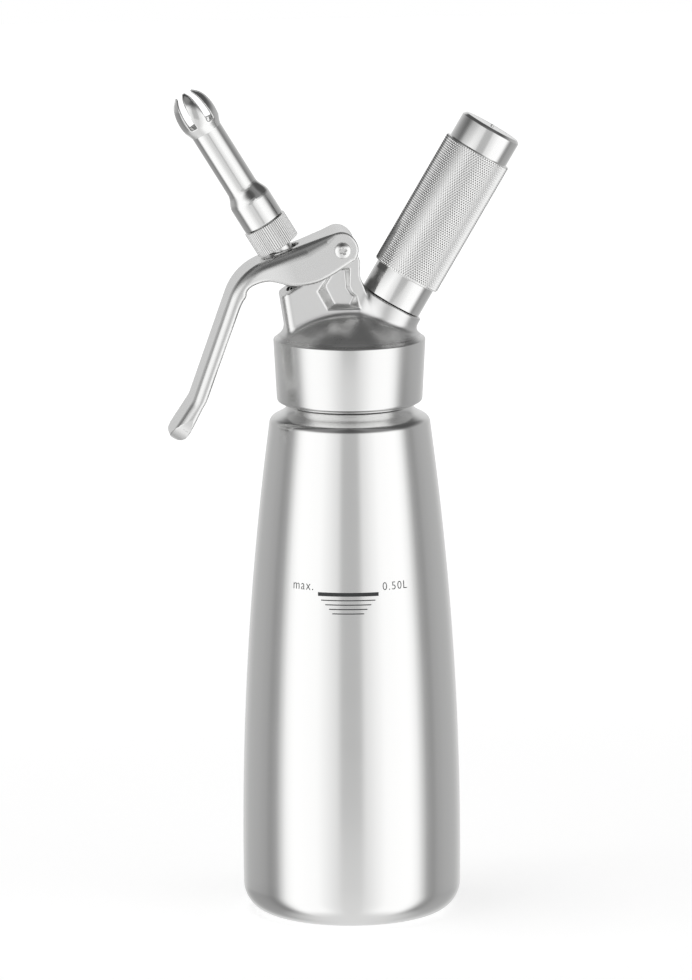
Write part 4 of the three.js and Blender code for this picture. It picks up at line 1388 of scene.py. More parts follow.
        def distance(points: np.ndarray) -> np.ndarray:
            """Measures the distance to the block.

            Args:
                points: Where, in the object's frame.

            Returns:
                The distances, negative inside.
            """
            face = np.abs(points[:, 1]) - self.half_width
            section = polygon_distance(points[:, 0], points[:, 2], outline)
            leftmost = (foot[0] - points[:, 0]) * side[1] - (foot[1] - points[:, 2]) * side[0]
            slab = round_most(section, face, self.edge_round)
            return np.maximum(slab, round_most(leftmost, face, self.corner_round))
        return Form(distance)

    def charger_boss(self) -> Form:
        """Forms the charger's boss.

        Returns:
            The solid, from a level circle in the dome to the leaning seat of the holder.
        """
        low = np.array([self.charger_foot, self.top - self.boss_sunk])
        high = np.array([CHARGER.x, CHARGER.z])
        lean = math.radians(CHARGER.lean)

        def distance(points: np.ndarray) -> np.ndarray:
            """Measures the distance to the boss.

            Args:
                points: Where, in the object's frame.

            Returns:
                The distances, negative inside.
            """
            local = CHARGER.inward(points)
            share = np.clip((points[:, 2] - low[1]) / (high[1] - low[1]), *self.boss_run)
            middle_x = low[0] + (high[0] - low[0]) * share
            upright = np.hypot(points[:, 0] - middle_x, points[:, 1]) - self.charger_radius
            leaning = np.hypot(local[:, 0], local[:, 1]) - self.charger_radius
            depth = np.clip(-local[:, 2] / (self.charger_radius * math.sin(lean) * 2), 0, 1)
            side = leaning + (upright - leaning) * depth * depth * (3 - 2 * depth)
            return round_most(side, local[:, 2], self.edge_round)
        return Form(distance)

    def pockets(self) -> Form:
        """Forms the hollows in both sides of the block, each with an edge and a smaller floor.

        Returns:
            What is cut away.
        """
        rise = PIVOT.z - self.top

        def distance(points: np.ndarray) -> np.ndarray:
            """Measures the distance to the hollows.

            Args:
                points: Where, in the object's frame.

            Returns:
                The distances, negative inside.
            """
            depth = self.half_width - np.abs(points[:, 1])
            share = np.clip(depth / self.pocket_depth, 0, 1)
            corners = []
            for (ea, eu), (fa, fu) in zip(self.pocket_edge, self.pocket_floor):
                across, up = ea + (fa - ea) * share, eu + (fu - eu) * share
                corners.append((-self.pocket_reach * across, self.top + rise * up))
            walls = polygon_distance(points[:, 0], points[:, 2], corners) * self.pocket_wall_share
            return round_most(walls, depth - self.pocket_depth, self.pocket_fillet)
        return Form(distance)


@dataclass(frozen=True)
class HeadGasket:
    """The sealing ring between the bottle's rim and the head."""

    inner: float = 20.6
    width: float = 2.8
    bottom: float = 206.8
    thickness: float = 2.5
    edge: float = 0.5

    def build(self) -> list[bpy.types.Object]:
        """Builds the ring.

        Returns:
            It, as one piece.
        """
        outer, top = self.inner + self.width, self.bottom + self.thickness
        outline = ring_outline(self.inner, outer, self.bottom, top, self.edge)
        seat = Seat("head_gasket", "gasket")
        return [make_piece("head_sealing_ring", revolve(outline, WIDE_ROUND), seat, SILICONE)]


# Lever

@dataclass(frozen=True)
class Lever:
    """The pressed lever: a web with the stem's slot, two cheeks and a channel handle."""

    back: float = 6.8
    sheet: float = 1.8
    cheek: float = 1.5
    cheek_inside: float = 9.4
    cheek_end: float = 5.8
    cheek_depth: float = 14.9
    web: float = 28.0
    bend_radius: float = 21.5
    bend_turn: float = 49.5
    handle: float = 38.4
    curl_radius: float = 11.0
    curl_turn: float = 14.0
    tip: float = 14.4
    handle_half_width: float = 12.0
    handle_depth: float = 5.4
    taper_start: float = 19.0
    press_radii: Pairs = ((-45, 3.3), (-30, 3.6), (-12, 4.6), (-4, 3.0), (0, 0.8))
    edge_round: float = 1.45
    tip_round: float = 10.5
    tip_back_round: float = 2.0
    tip_front_round: float = 3.2
    slot_half_width: float = 4.7
    slot: tuple[float, float] = (-20.33, -18.17)
    pivot_hole: float = 2.3
    wrap_end: float = -70.0
    wrap_steps: int = 16
    end_turn: float = 80.0
    end_steps: int = 22
    mouth_turn: float = 25.0
    mouth_reach: float = 1.0
    least_inner_round: float = 0.3
    inner_edge: float = 0.25
    slot_edge: float = 0.3
    far: float = 30.0
    far_below: float = -90.0
    surround: tuple[float, float, float, float] = (-160.0, 40.0, -70.0, 60.0)
    margins: tuple[float, float, float] = (1.5, 1.0, 6.0)
    pitch: float = 0.4
    leg_steps: tuple[int, ...] = (8, 20, 12, 6, 9)
    solid_tip_steps: int = 3
    depth_shares: Pairs = (
        (1.83, 1.08), (2, 0.94), (2.25, 0.93), (2.5, 0.91), (2.75, 0.9), (3, 0.9), (3.5, 0.83), (4, 0.84),
        (4.33, 0.95), (4.67, 1.02), (5, 1.0),
    )
    edge_shares: Pairs = (
        (0.37, 1), (0.6, 0.95), (0.79, 0.81), (0.95, 0.58), (1.07, 0.46), (1.25, 0.44), (1.34, 0.52),
    )
    seat: Seat = Seat("lever", "lever")

    def build(self) -> list[bpy.types.Object]:
        """Presses the lever.

        Returns:
            It, as one piece.
        """
        past, behind, below = self.margins
        reach = max(-x for x, _ in self.trail()[0]) + past
        drop = min(z for _, z in self.trail()[0]) - below
        side = max(self.handle_half_width, self.cheek_inside + self.cheek) + past
        limits = ((-reach, -side, drop), (self.back + behind, side, self.back + past))
        shape = cast(self.form(), *limits, self.pitch)
        return [make_piece("lever_pressing", shape, self.seat, LEVER_STEEL, PIVOT)]

    def trail(self) -> tuple[Outline, Outline]:
        """Walks along the back of the lever from the pivot to the tip.

        Returns:
            The points passed, and the direction inwards at each of them.
        """
        legs = [
            (self.web, 0.0),
            (self.bend_radius * math.radians(self.bend_turn), self.bend_turn),
            (self.handle, 0.0),
            (self.curl_radius * math.radians(self.curl_turn), -self.curl_turn),
            (self.tip, 0.0),
        ]
        x, z, way = 0.0, self.back, 180.0
        points, inward = [(x, z)], [(0.0, -1.0)]
        for (length, bend), steps in zip(legs, self.leg_steps):
            for _ in range(steps):
                way += bend / steps / 2
                x += length / steps * math.cos(math.radians(way))
                z += length / steps * math.sin(math.radians(way))
                way += bend / steps / 2
                points.append((x, z))
                inward.append((-math.sin(math.radians(way)), math.cos(math.radians(way))))
        return points, inward

    def lower_edge(self) -> Outline:
        """Draws the lower edge.

        Returns:
            Its points from the pivot's cheek end to the tip.
        """
        points, inward = self.trail()
        ends = np.concatenate([[0], np.cumsum(self.leg_steps)])
        order = np.arange(len(points))
        inner = []
        for place, share in self.depth_shares:
            station = np.interp(place, np.arange(len(ends)), ends)
            x, z = (np.interp(station, order, [p[a] for p in points]) for a in (0, 1))
            dx, dz = (np.interp(station, order, [d[a] for d in inward]) for a in (0, 1))
            inner.append((x + self.handle_depth * share * dx, z + self.handle_depth * share * dz))
        web, deep = self.web, self.cheek_depth
        cheeks = [(-web * along, self.back - deep * down) for along, down in self.edge_shares]
        low = math.radians(self.wrap_end)
        start = (self.cheek_end * math.cos(low), self.cheek_end * math.sin(low))
        return cut_corners([start, *cheeks, *inner])

    def form(self) -> Form:
        """Forms the pressed sheet.

        Returns:
            The lever's solid in its own frame.
        """
        points, inward = self.trail()
        tip, tip_in = np.array(points[-1]), np.array(inward[-1])
        heading = np.array([tip_in[1], -tip_in[0]])
        past = self.far * heading
        left, right, bottom, top = self.surround
        end_round, lower = self.end_round(), self.lower_edge()
        beyond = [tuple(tip + past), tuple(tip + past + 2 * self.far * tip_in)]
        back_side = [(end_round[0][0], self.far_below), *end_round, *points, *beyond]
        outside = [tuple(np.array(lower[-1]) + past), (left, bottom), (left, top), (right, top)]
        low_side = [(right, lower[0][1]), *lower, *outside]
        sheet = self.sheet
        wrap = arc((0, 0), self.back - sheet, self.wrap_end, 90, self.wrap_steps)
        under = [(x + sheet * dx, z + sheet * dz) for (x, z), (dx, dz) in zip(points, inward)]
        under = under[:-self.solid_tip_steps]
        stop = tuple(np.array(under[-1]) + self.far * tip_in)
        floor = [(wrap[0][0], self.far_below), *wrap[:-1], *under, stop]
        places, radii = zip(*self.press_radii)

        def distance(p: np.ndarray) -> np.ndarray:
            """Measures the distance to the pressed sheet.

            Args:
                p: Points in the lever's frame.

            Returns:
                The distances, negative inside.
            """
            x, y, z = p[:, 0], np.abs(p[:, 1]), p[:, 2]
            press = np.interp(x, places, radii)
            side = y - self.half_width(x)
            back = polygon_distance(x, z, back_side)
            low = polygon_distance(x, z, low_side)
            ahead = (x - tip[0]) * heading[0] + (z - tip[1]) * heading[1]
            outer = np.maximum.reduce([
                round_most(back, side, press),
                round_most(low, side, self.edge_round),
                round_most(ahead, side, self.tip_round),
                round_most(ahead, back, self.tip_back_round),
                round_most(ahead, low, self.tip_front_round),
            ])
            inside = np.maximum(press - self.cheek, self.least_inner_round)
            hollow = round_most(polygon_distance(x, z, floor), side + self.cheek, inside)
            body = round_most(outer, -hollow, self.inner_edge)
            return round_most(body, -self.wrap_mouth(x, y, z), self.inner_edge)
        hole = Form(lambda p: np.hypot(p[:, 0], p[:, 2]) - self.pivot_hole)
        return Form(distance).cut(Form(self.slot_distance), self.slot_edge).cut(hole, self.inner_edge)

    def end_round(self) -> Outline:
        """Draws the round of the cheeks behind the pivot.

        Returns:
            Its points; it swells upwards to meet the back.
        """
        angles = np.radians(np.linspace(self.wrap_end, self.end_turn, self.end_steps))
        radii = self.cheek_end + (self.back - self.cheek_end) * np.maximum(0, np.sin(angles)) ** 2
        return list(zip(radii * np.cos(angles), radii * np.sin(angles)))

    def wrap_mouth(self, x: np.ndarray, y: np.ndarray, z: np.ndarray) -> np.ndarray:
        """Measures the distance to the gap between the cheeks beyond the end of the web's wrap.

        Args:
            x: Along the lever.
            y: From its middle plane.
            z: Above the pivot.

        Returns:
            The distances, negative inside.
        """
        low = math.radians(self.mouth_turn)
        beyond = z * math.cos(low) - x * math.sin(low)
        return np.maximum.reduce([beyond, -x - self.mouth_reach, y - self.cheek_inside])

    def half_width(self, x: np.ndarray) -> np.ndarray:
        """Measures half the lever's width.

        Args:
            x: Along the lever.

        Returns:
            The half widths, growing from the cheeks to the handle.
        """
        cheeks = self.cheek_inside + self.cheek
        end = self.web + self.bend_radius * math.tan(math.radians(self.bend_turn / 2))
        share = np.clip((-x - self.taper_start) / (end - self.taper_start), 0, 1)
        return cheeks + (self.handle_half_width - cheeks) * share ** 2 * (3 - 2 * share)

    def slot_distance(self, points: np.ndarray) -> np.ndarray:
        """Measures the distance to the slot in the web that the stem passes through.

        Args:
            points: Where, in the piece's frame.

        Returns:
            The distances, negative inside.
        """
        along = np.clip(points[:, 0], *self.slot)
        slot = np.hypot(points[:, 0] - along, points[:, 1]) - self.slot_half_width
        return np.maximum(slot, self.back - 2 * self.sheet - points[:, 2])


@dataclass(frozen=True)
class Pivot:
    """The pan-head screw and the barrel nut that the lever turns on, along Y."""

    cheek_outside: float = 10.9
    gap: float = 0.3
    head_radius: float = 2.9
    head_height: float = 1.3
    shank: float = 1.2
    barrel: float = 2.0
    ear_half_width: float = 9.0
    recess_width: float = 1.0
    recess_length: float = 3.0
    recess_depth: float = 1.0
    recess_turn: float = 25.0
    recess_tapers: tuple[float, float] = (0.55, 0.12)
    recess_fillet: float = 0.12
    recess_edge: float = 0.08
    margins: tuple[float, float] = (0.3, 0.4)
    pitch: float = 0.13

    def build(self) -> list[bpy.types.Object]:
        """Builds the pivot.

        Returns:
            The screw and the barrel.
        """
        level = Place(PIVOT.x, PIVOT.z, 0)
        side, end = self.head_radius + self.margins[0], self.margins[1]
        limits = ((-side, -side, -end), (side, side, self.under_head() + self.head_height + end))
        screw = cast(self.screw(), *limits, self.pitch)
        barrel = revolve(self.barrel_outline(), TINY_ROUND)
        turn_front = np.array([[1, 0, 0], [0, 0, -1], [0, 1, 0]])
        for shape, way in ((screw, turn_front), (barrel, turn_front.T)):
            shape.points = shape.points @ way.T
            if shape.normals is not None:
                shape.normals = shape.normals @ way.T
        return [
            make_piece("pivot_pan_screw", screw, Seat("pivot_screw", "lever"), SCREW_STEEL, level),
            make_piece("pivot_barrel_nut", barrel, Seat("pivot_barrel", "lever"), SCREW_STEEL, level),
        ]

    def under_head(self) -> float:
        """Returns the distance from the middle to the underside of a head."""
        return self.cheek_outside + self.gap

    def screw(self) -> Form:
        """Forms the screw.

        Returns:
            The solid, its head at the top, with a crossed recess.
        """
        under, top = self.under_head(), self.under_head() + self.head_height
        outline = soften([
            (0, 0), (self.shank, 0, FINE_EDGE), (self.shank, under), (self.head_radius, under, SHARP_EDGE),
            (self.head_radius, under + 0.45 * self.head_height, 0.4),
            (0.55 * self.head_radius, top - 0.05, 0.8), (0, top),
        ])
        body = turned(outline)
        way = math.radians(self.recess_turn)
        cos, sin = math.cos(way), math.sin(way)
        long_taper, wide_taper = self.recess_tapers

        def cross(points: np.ndarray) -> np.ndarray:
            """Measures the distance to the crossed recess, narrower towards its floor.

            Args:
                points: Where, in the piece's frame.

            Returns:
                The distances, negative inside.
            """
            down = np.clip(top - points[:, 2], 0, self.recess_depth)
            x = np.abs(points[:, 0] * cos + points[:, 1] * sin)
            y = np.abs(points[:, 1] * cos - points[:, 0] * sin)
            long_half = self.recess_length / 2 - long_taper * down
            wide_half = self.recess_width / 2 - wide_taper * down
            one = np.maximum(x - long_half, y - wide_half)
            other = np.maximum(y - long_half, x - wide_half)
            floor = top - self.recess_depth - points[:, 2]
            return np.maximum(soft_least(one, other, self.recess_fillet), floor)
        return body.cut(Form(cross), self.recess_edge)

    def barrel_outline(self) -> Outline:
        """Draws the barrel.

        Returns:
            Its profile, its closed head at the top.
        """
        under, top = self.under_head(), self.under_head() + self.head_height
        bore = self.shank + self.gap
        return soften([
            (0, self.ear_half_width), (bore, self.ear_half_width), (bore, -self.cheek_outside),
            (self.barrel, -self.cheek_outside, FINE_EDGE), (self.barrel, under),
            (self.head_radius, under, SHARP_EDGE),
            (self.head_radius, under + 0.5 * self.head_height, 0.5),
            (0.5 * self.head_radius, top, 0.8), (0, top),
        ])


# Valve

@dataclass(frozen=True)
class Valve:
    """The hollow stem with its spring, ring, seal and nut, on the valve's axis."""

    radius: float = 4.2
    bore: float = 1.9
    flange_radius: float = 6.0
    flange_top: float = 10.44
    flange_thickness: float = 1.6
    top: float = 22.82
    thread_start: float = 16.92
    adapter_bottom: float = 15.32
    port_radius: float = 1.3
    port_height: float = -17.8
    groove_top: float = -13.2
    groove_width: float = 1.7
    groove_depth: float = 1.45
    seat_depth: float = 20.0
    tail: float = 2.4
    nut_low: float = -25.6
    nut_height: float = 3.0
    nut_flats: float = 8.4
    seal_low: float = -22.3
    seal_high: float = -20.3
    wire: float = 1.0
    coil_radius: float = 5.2
    coils: float = 7.0
    spring_floor: float = -11.0
    bore_end: float = -19.1
    flange_chamfer: float = 0.9
    seal_radius: float = 6.0
    seal_edge: float = 0.35
    nut_edges: tuple[float, float] = (0.45, 0.15)
    port_edge: float = 0.15
    margin: float = 0.6
    stem_pitch: float = 0.24
    nut_space: tuple[float, float] = (5.6, 0.5)
    nut_pitch: float = 0.2
    coil_steps: int = 48
    gap: float = 0.3
    travel: float = 2.598

    def build(self) -> list[bpy.types.Object]:
        """Builds what is on the valve's axis below the adapter.

        Returns:
            The pieces.
        """
        stem, ring, seal = (Seat(node, "stem") for node in ("valve_stem", "stem_ring", "valve_seal"))
        return [
            make_piece("hollow_stem", self.ported_stem(), stem, VALVE_STEEL, VALVE),
            STEM_THREAD.piece("stem_thread", self.root(), self.thread_start, stem, VALVE_STEEL, VALVE),
            self.spring(),
            make_piece("stem_sealing_ring", revolve(self.ring(), TINY_ROUND), ring, RUBBER, VALVE),
            make_piece("valve_sealing_disc", revolve(self.disc(), SMALL_ROUND), seal, RUBBER, VALVE),
            self.nut(),
        ]

    def root(self) -> float:
        """Returns the stem's radius under its thread."""
        return self.radius - STEM_THREAD.height

    def ported_stem(self) -> Shape:
        """Forms the stem.

        Returns:
            The stem with its cross port above the seat.
        """
        port = Form(lambda p: np.hypot(p[:, 1], p[:, 2] - self.port_height) - self.port_radius)
        side = self.flange_radius + self.margin
        limits = ((-side, -side, self.nut_low - self.margin), (side, side, self.top + self.margin))
        return cast(turned(self.stem()).cut(port, self.port_edge), *limits, self.stem_pitch)

    def stem(self) -> Outline:
        """Draws the stem.

        Returns:
            Its profile.
        """
        groove_low = self.groove_top - self.groove_width
        floor = self.radius - self.groove_depth
        flange_low = self.flange_top - self.flange_thickness
        root = self.root()
        return soften([
            (0, self.nut_low), (self.tail, self.nut_low, EDGE), (self.tail, -self.seat_depth),
            (self.radius, -self.seat_depth, EDGE), (self.radius, groove_low, SHARP_EDGE),
            (floor, groove_low),
            (floor, self.groove_top), (self.radius, self.groove_top, SHARP_EDGE), (self.radius, flange_low),
            (self.flange_radius, flange_low, 0.25),
            (self.flange_radius, self.flange_top - self.flange_chamfer, EDGE),
            (self.flange_radius - self.flange_chamfer, self.flange_top, EDGE),
            (self.radius, self.flange_top),
            (self.radius, self.adapter_bottom), (root, self.adapter_bottom + STEM_THREAD.height),
            (root, self.top, EDGE), (self.bore, self.top, FINE_EDGE), (self.bore, self.bore_end),
            (0, self.bore_end),
        ])

    def ring(self) -> Outline:
        """Draws the sealing ring.

        Returns:
            Its round section.
        """
        inner = self.radius - self.groove_depth + self.gap
        section = (self.radius - inner) / 2
        return arc((inner + section, self.groove_top - self.groove_width / 2), section, 0, 360, 20)[:-1]

    def disc(self) -> Outline:
        """Returns the section of the seal under the seat."""
        inner = self.tail + self.gap
        return ring_outline(inner, self.seal_radius, self.seal_low, self.seal_high, self.seal_edge)

    def nut(self) -> bpy.types.Object:
        """Builds the hexagonal nut on the stem's tail.

        Returns:
            The nut.
        """
        high = self.nut_low + self.nut_height
        corner = self.nut_flats / 2 / math.cos(TURN / 12)
        end_edge, side_edge = self.nut_edges
        barrel = turned(ring_outline(self.tail + self.gap, corner, self.nut_low, high, end_edge))
        ways = [TURN * (i + 0.5) / 6 for i in range(6)]

        def flats(points: np.ndarray) -> np.ndarray:
            """Measures the distance to the prism of the six flats.

            Args:
                points: Where, in the valve's frame.

            Returns:
                The distances, negative inside.
            """
            sides = [points[:, 0] * math.cos(a) + points[:, 1] * math.sin(a) for a in ways]
            return np.maximum.reduce(sides) - self.nut_flats / 2
        form = barrel.meet(Form(flats), side_edge)
        side, margin = self.nut_space
        limits = ((-side, -side, self.nut_low - margin), (side, side, high + margin))
        nut = cast(form, *limits, self.nut_pitch)
        return make_piece("tail_nut", nut, Seat("valve_nut", "stem"), VALVE_STEEL, VALVE)

    def spring(self) -> bpy.types.Object:
        """Winds the return spring.

        Returns:
            The spring.
        """
        half = self.wire / 2
        low = self.spring_floor + self.gap + half
        high = self.flange_top - self.flange_thickness - self.gap - half
        inputs = {
            "Radius": self.coil_radius, "Pitch": (high - low) / self.coils, "Turns": self.coils,
            "Start": low, "Foot": self.wire, "Crest": 0.0, "Height": self.wire, "Steps": self.coil_steps,
        }
        seat = Seat("valve_spring", "head")
        piece = grow("return_spring", WINDING, inputs, seat, SPRING_STEEL, VALVE)
        piece.data.shade_smooth()
        foot, top = VALVE.outward(np.array([[0, 0, low - half], [0, 0, high + half]])) * MM
        axis = Vector(top - foot).normalized()
        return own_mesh(piece)


# Nozzle

@dataclass(frozen=True)
class Nozzle:
    """The fluted adapter, its seal and the tulip nozzle that it carries."""

    bottom: float = 15.32
    ring_length: float = 10.0
    radius: float = 8.15
    spigot_length: float = 6.4
    spigot_radius: float = 6.0
    bore_depth: float = 9.3
    passage: float = 2.2
    bore: float = 4.6
    flutes: int = 64
    flute_depth: float = 0.45
    gap: float = 0.3
    wall: float = 1.4
    base_radius: float = 7.7
    base_length: float = 9.2
    flare: float = 5.8
    tube_radius: float = 5.8
    tube_length: float = 24.05
    tulip_radius: float = 7.5
    mouth_radius: float = 3.9
    tulip_length: float = 15.4
    tulip_wall: float = 0.9
    slot_width: float = 2.8
    slot_lift: float = 3.6
    slot_pairs: int = 3
    slot_fillet: float = 0.5
    slot_edge: float = 0.3
    tulip_shares: Pairs = (
        (0, 0), (0.1, 0.3), (0.22, 0.8), (0.36, 1), (0.52, 0.96), (0.7, 0.66), (0.86, 0.1),
    )
    flute_share: float = 0.97
    thread_lift: float = 0.85
    thread_sunk: float = 0.25
    seal_radius: float = 4.2
    seal_thickness: float = 1.2
    seal_edge: float = 0.25
    side: float = 8.6
    margin: float = 0.8
    pitch: float = 0.3

    def build(self) -> list[bpy.types.Object]:
        """Builds what is above the lever.

        Returns:
            The pieces.
        """
        seat, tip = (Seat(node, "nozzle") for node in ("nozzle_adapter", "tulip_nozzle"))
        ring = Seat("adapter_seal", "seal")
        seal_low = self.bottom + self.bore_depth - self.seal_thickness - self.gap
        seal_high = seal_low + self.seal_thickness
        seal = ring_outline(self.passage, self.seal_radius, seal_low, seal_high, self.seal_edge)
        low, high = self.top() + self.gap, self.tulip_bottom() + self.tulip_length
        side, margin = self.side, self.margin
        nozzle = cast(self.tulip(), (-side, -side, low - margin), (side, side, high + margin), self.pitch)
        thread = ("adapter_thread", self.bore, self.bottom + self.thread_lift, seat, ADAPTER_STEEL, VALVE)
        return [
            make_piece("adapter_body", revolve(self.adapter(), NARROW_ROUND), seat, ADAPTER_STEEL, VALVE),
            self.fluting(seat),
            STEM_THREAD.piece(*thread, inward=True, sunk=self.thread_sunk),
            make_piece("adapter_sealing_ring", revolve(seal, TINY_ROUND), ring, SILICONE, VALVE),
            make_piece("decorating_nozzle", nozzle, tip, VALVE_STEEL, VALVE),
        ]

    def top(self) -> float:
        """Returns the top of the fluted ring."""
        return self.bottom + self.ring_length

    def tulip_bottom(self) -> float:
        """Returns the height where the tube widens into the tulip."""
        return self.top() + self.gap + self.base_length + self.flare + self.tube_length

    def adapter(self) -> Outline:
        """Draws the adapter.

        Returns:
            Its profile under its flutes.
        """
        root = self.radius - self.flute_depth
        spigot_top = self.top() + self.spigot_length
        roof = self.bottom + self.bore_depth
        return soften([
            (self.bore, self.bottom, FINE_EDGE), (root - 0.3, self.bottom, EDGE),
            (root, self.bottom + 0.4, FINE_EDGE),
            (root, self.top() - 0.4, FINE_EDGE), (root - 0.3, self.top(), EDGE),
            (self.spigot_radius, self.top()),
            (self.spigot_radius, spigot_top, 0.4), (self.passage, spigot_top, FINE_EDGE),
            (self.passage, roof),
            (self.bore, roof),
        ], closed=True)

    def fluting(self, seat: Seat) -> bpy.types.Object:
        """Sets the ridges round the adapter.

        Args:
            seat: The adapter's node and body.

        Returns:
            The ridges as one piece.
        """
        root = self.radius - self.flute_depth
        inputs = {
            "Radius": root, "Start": self.bottom + self.ring_length / 2, "Rise": 1.0,
            "Around": self.flutes, "Rows": 1, "Tooth Width": self.flute_share * TURN * root / self.flutes,
            "Tooth Length": self.ring_length, "Tooth Height": 2 * self.flute_depth,
        }
        return grow("adapter_flutes", FLUTES, inputs, seat, ADAPTER_STEEL, VALVE)

    def tulip_outline(self, inset: float) -> Outline:
        """Draws the tulip's side.

        Args:
            inset: How far it is moved in.

        Returns:
            Its points from the neck to the tips of the prongs.
        """
        rise = self.tulip_radius - self.tube_radius
        shares = [*self.tulip_shares, (1, (self.mouth_radius - self.tube_radius) / rise)]
        bottom = self.tulip_bottom()
        return cut_corners([
            (self.tube_radius + rise * out - inset, bottom + self.tulip_length * up) for up, out in shares
        ])

    def tulip(self) -> Form:
        """Forms the nozzle.

        Returns:
            The solid with the slots between its prongs.
        """
        low = self.top() + self.gap
        base_top = low + self.base_length
        tube_low = base_top + self.flare
        inner_base, inner_tube = self.base_radius - self.wall, self.tube_radius - self.wall
        change = self.tube_radius - self.base_radius
        flare = [
            (self.base_radius + change * s * s * (3 - 2 * s), base_top + self.flare * s)
            for s in np.linspace(0, 1, 10)
        ]
        outside = soften([(inner_base, low), (self.base_radius, low, 0.3), flare[0]])
        inside = [(inner_tube, tube_low), (inner_base, base_top)]
        outline = [
            *outside, *flare[1:], *self.tulip_outline(0)[1:], *self.tulip_outline(self.tulip_wall)[:0:-1],
            (inner_tube, self.tulip_bottom()), *inside,
        ]
        foot = self.tulip_bottom() + self.slot_lift
        ways = [TURN / 2 * pair / self.slot_pairs for pair in range(self.slot_pairs)]

        def slots(points: np.ndarray) -> np.ndarray:
            """Measures the distance to the slots between the prongs.

            Args:
                points: Where, in the piece's frame.

            Returns:
                The distances, negative inside.
            """
            across = [points[:, 1] * math.cos(a) - points[:, 0] * math.sin(a) for a in ways]
            beside = np.minimum.reduce(np.abs(across)) - self.slot_width / 2
            return round_most(beside, foot - points[:, 2], self.slot_fillet)
        return turned(outline).cut(Form(slots), self.slot_edge)


# Charger side

@dataclass(frozen=True)
class Piercer:
    """The brass body with its hollow pin, the charger's seal and the non-return valve."""

    length: float = 6.0
    outer: float = 4.4
    pin_radius: float = 0.9
    pin_bore: float = 0.4
    pin_point: float = 4.0
    gap: float = 0.3
    seal_thickness: float = 1.7
    seal_bore: float = 1.3
    valve_thickness: float = 2.4
    valve_bore: float = 0.6
    point_wall: float = 0.12

    def build(self) -> list[bpy.types.Object]:
        """Builds what is in the charger's boss.

        Returns:
            The pieces.
        """
        body = ring_outline(self.pin_radius + self.gap, self.outer, -self.length, 0, 0.35)
        valve_top = -self.length - self.gap
        valve = ring_outline(self.valve_bore, self.outer, valve_top - self.valve_thickness, valve_top, 0.4)
        seal = ring_outline(self.seal_bore, self.outer, self.gap, self.gap + self.seal_thickness, 0.3)
        pin = soften([
            (self.pin_bore, -self.length), (self.pin_radius, -self.length, 0.1),
            (self.pin_radius, self.pin_point / 2, EDGE), (self.pin_bore + self.point_wall, self.pin_point),
            (self.pin_bore, self.pin_point),
        ], closed=True)
        rows = [
            ("piercer_sleeve", body, "piercer_body", BRASS),
            ("hollow_piercing_pin", pin, "piercing_pin", VALVE_STEEL),
            ("charger_sealing_ring", seal, "charger_seal", RUBBER),
            ("non_return_valve", valve, "check_valve", RUBBER),
        ]
        return [
            make_piece(name, revolve(outline, TINY_ROUND), Seat(node, "head"), finish, CHARGER)
            for name, outline, node, finish in rows
        ]


@dataclass(frozen=True)
class GasCharger:
    """The small steel gas charger in the holder."""

    bottom: float = 2.3
    length: float = 65.5
    radius: float = 8.9
    neck_radius: float = 4.4
    neck_length: float = 7.3
    shoulder: float = 10.0
    wall: float = 1.5
    neck_bore: float = 1.3
    lip: float = 0.3

    def build(self) -> list[bpy.types.Object]:
        """Builds the charger.

        Returns:
            It, as one piece.
        """
        neck_top = self.bottom + self.neck_length
        shoulder_top = neck_top + self.shoulder
        top = self.bottom + self.length
        middle = (self.neck_radius + self.radius) / 2
        half = self.shoulder / 2
        outside = soften([
            (self.neck_radius, self.bottom, 0.4), (self.neck_radius, neck_top, 1.5),
            (middle + self.wall / 2, neck_top + half, 3), (self.radius, shoulder_top, 4),
            (self.radius, top - self.radius),
        ])[1:]
        inside = [(self.radius - self.wall, shoulder_top), (middle - self.wall / 2, neck_top + half)]
        dome = (0, top - self.radius)
        outline = [
            (0, top - self.wall), *arc(dome, self.radius - self.wall, 90, 0, 12)[1:], *inside,
            (self.neck_bore, neck_top), (self.neck_bore, self.bottom),
            (self.neck_radius - self.lip, self.bottom), *outside,
            *arc(dome, self.radius, 0, 90, 16)[1:-1], (0, top),
        ]
        seat = Seat("gas_charger", "charger")
        return [make_piece("gas_capsule", revolve(outline, SMALL_ROUND), seat, CHARGER_STEEL, CHARGER)]


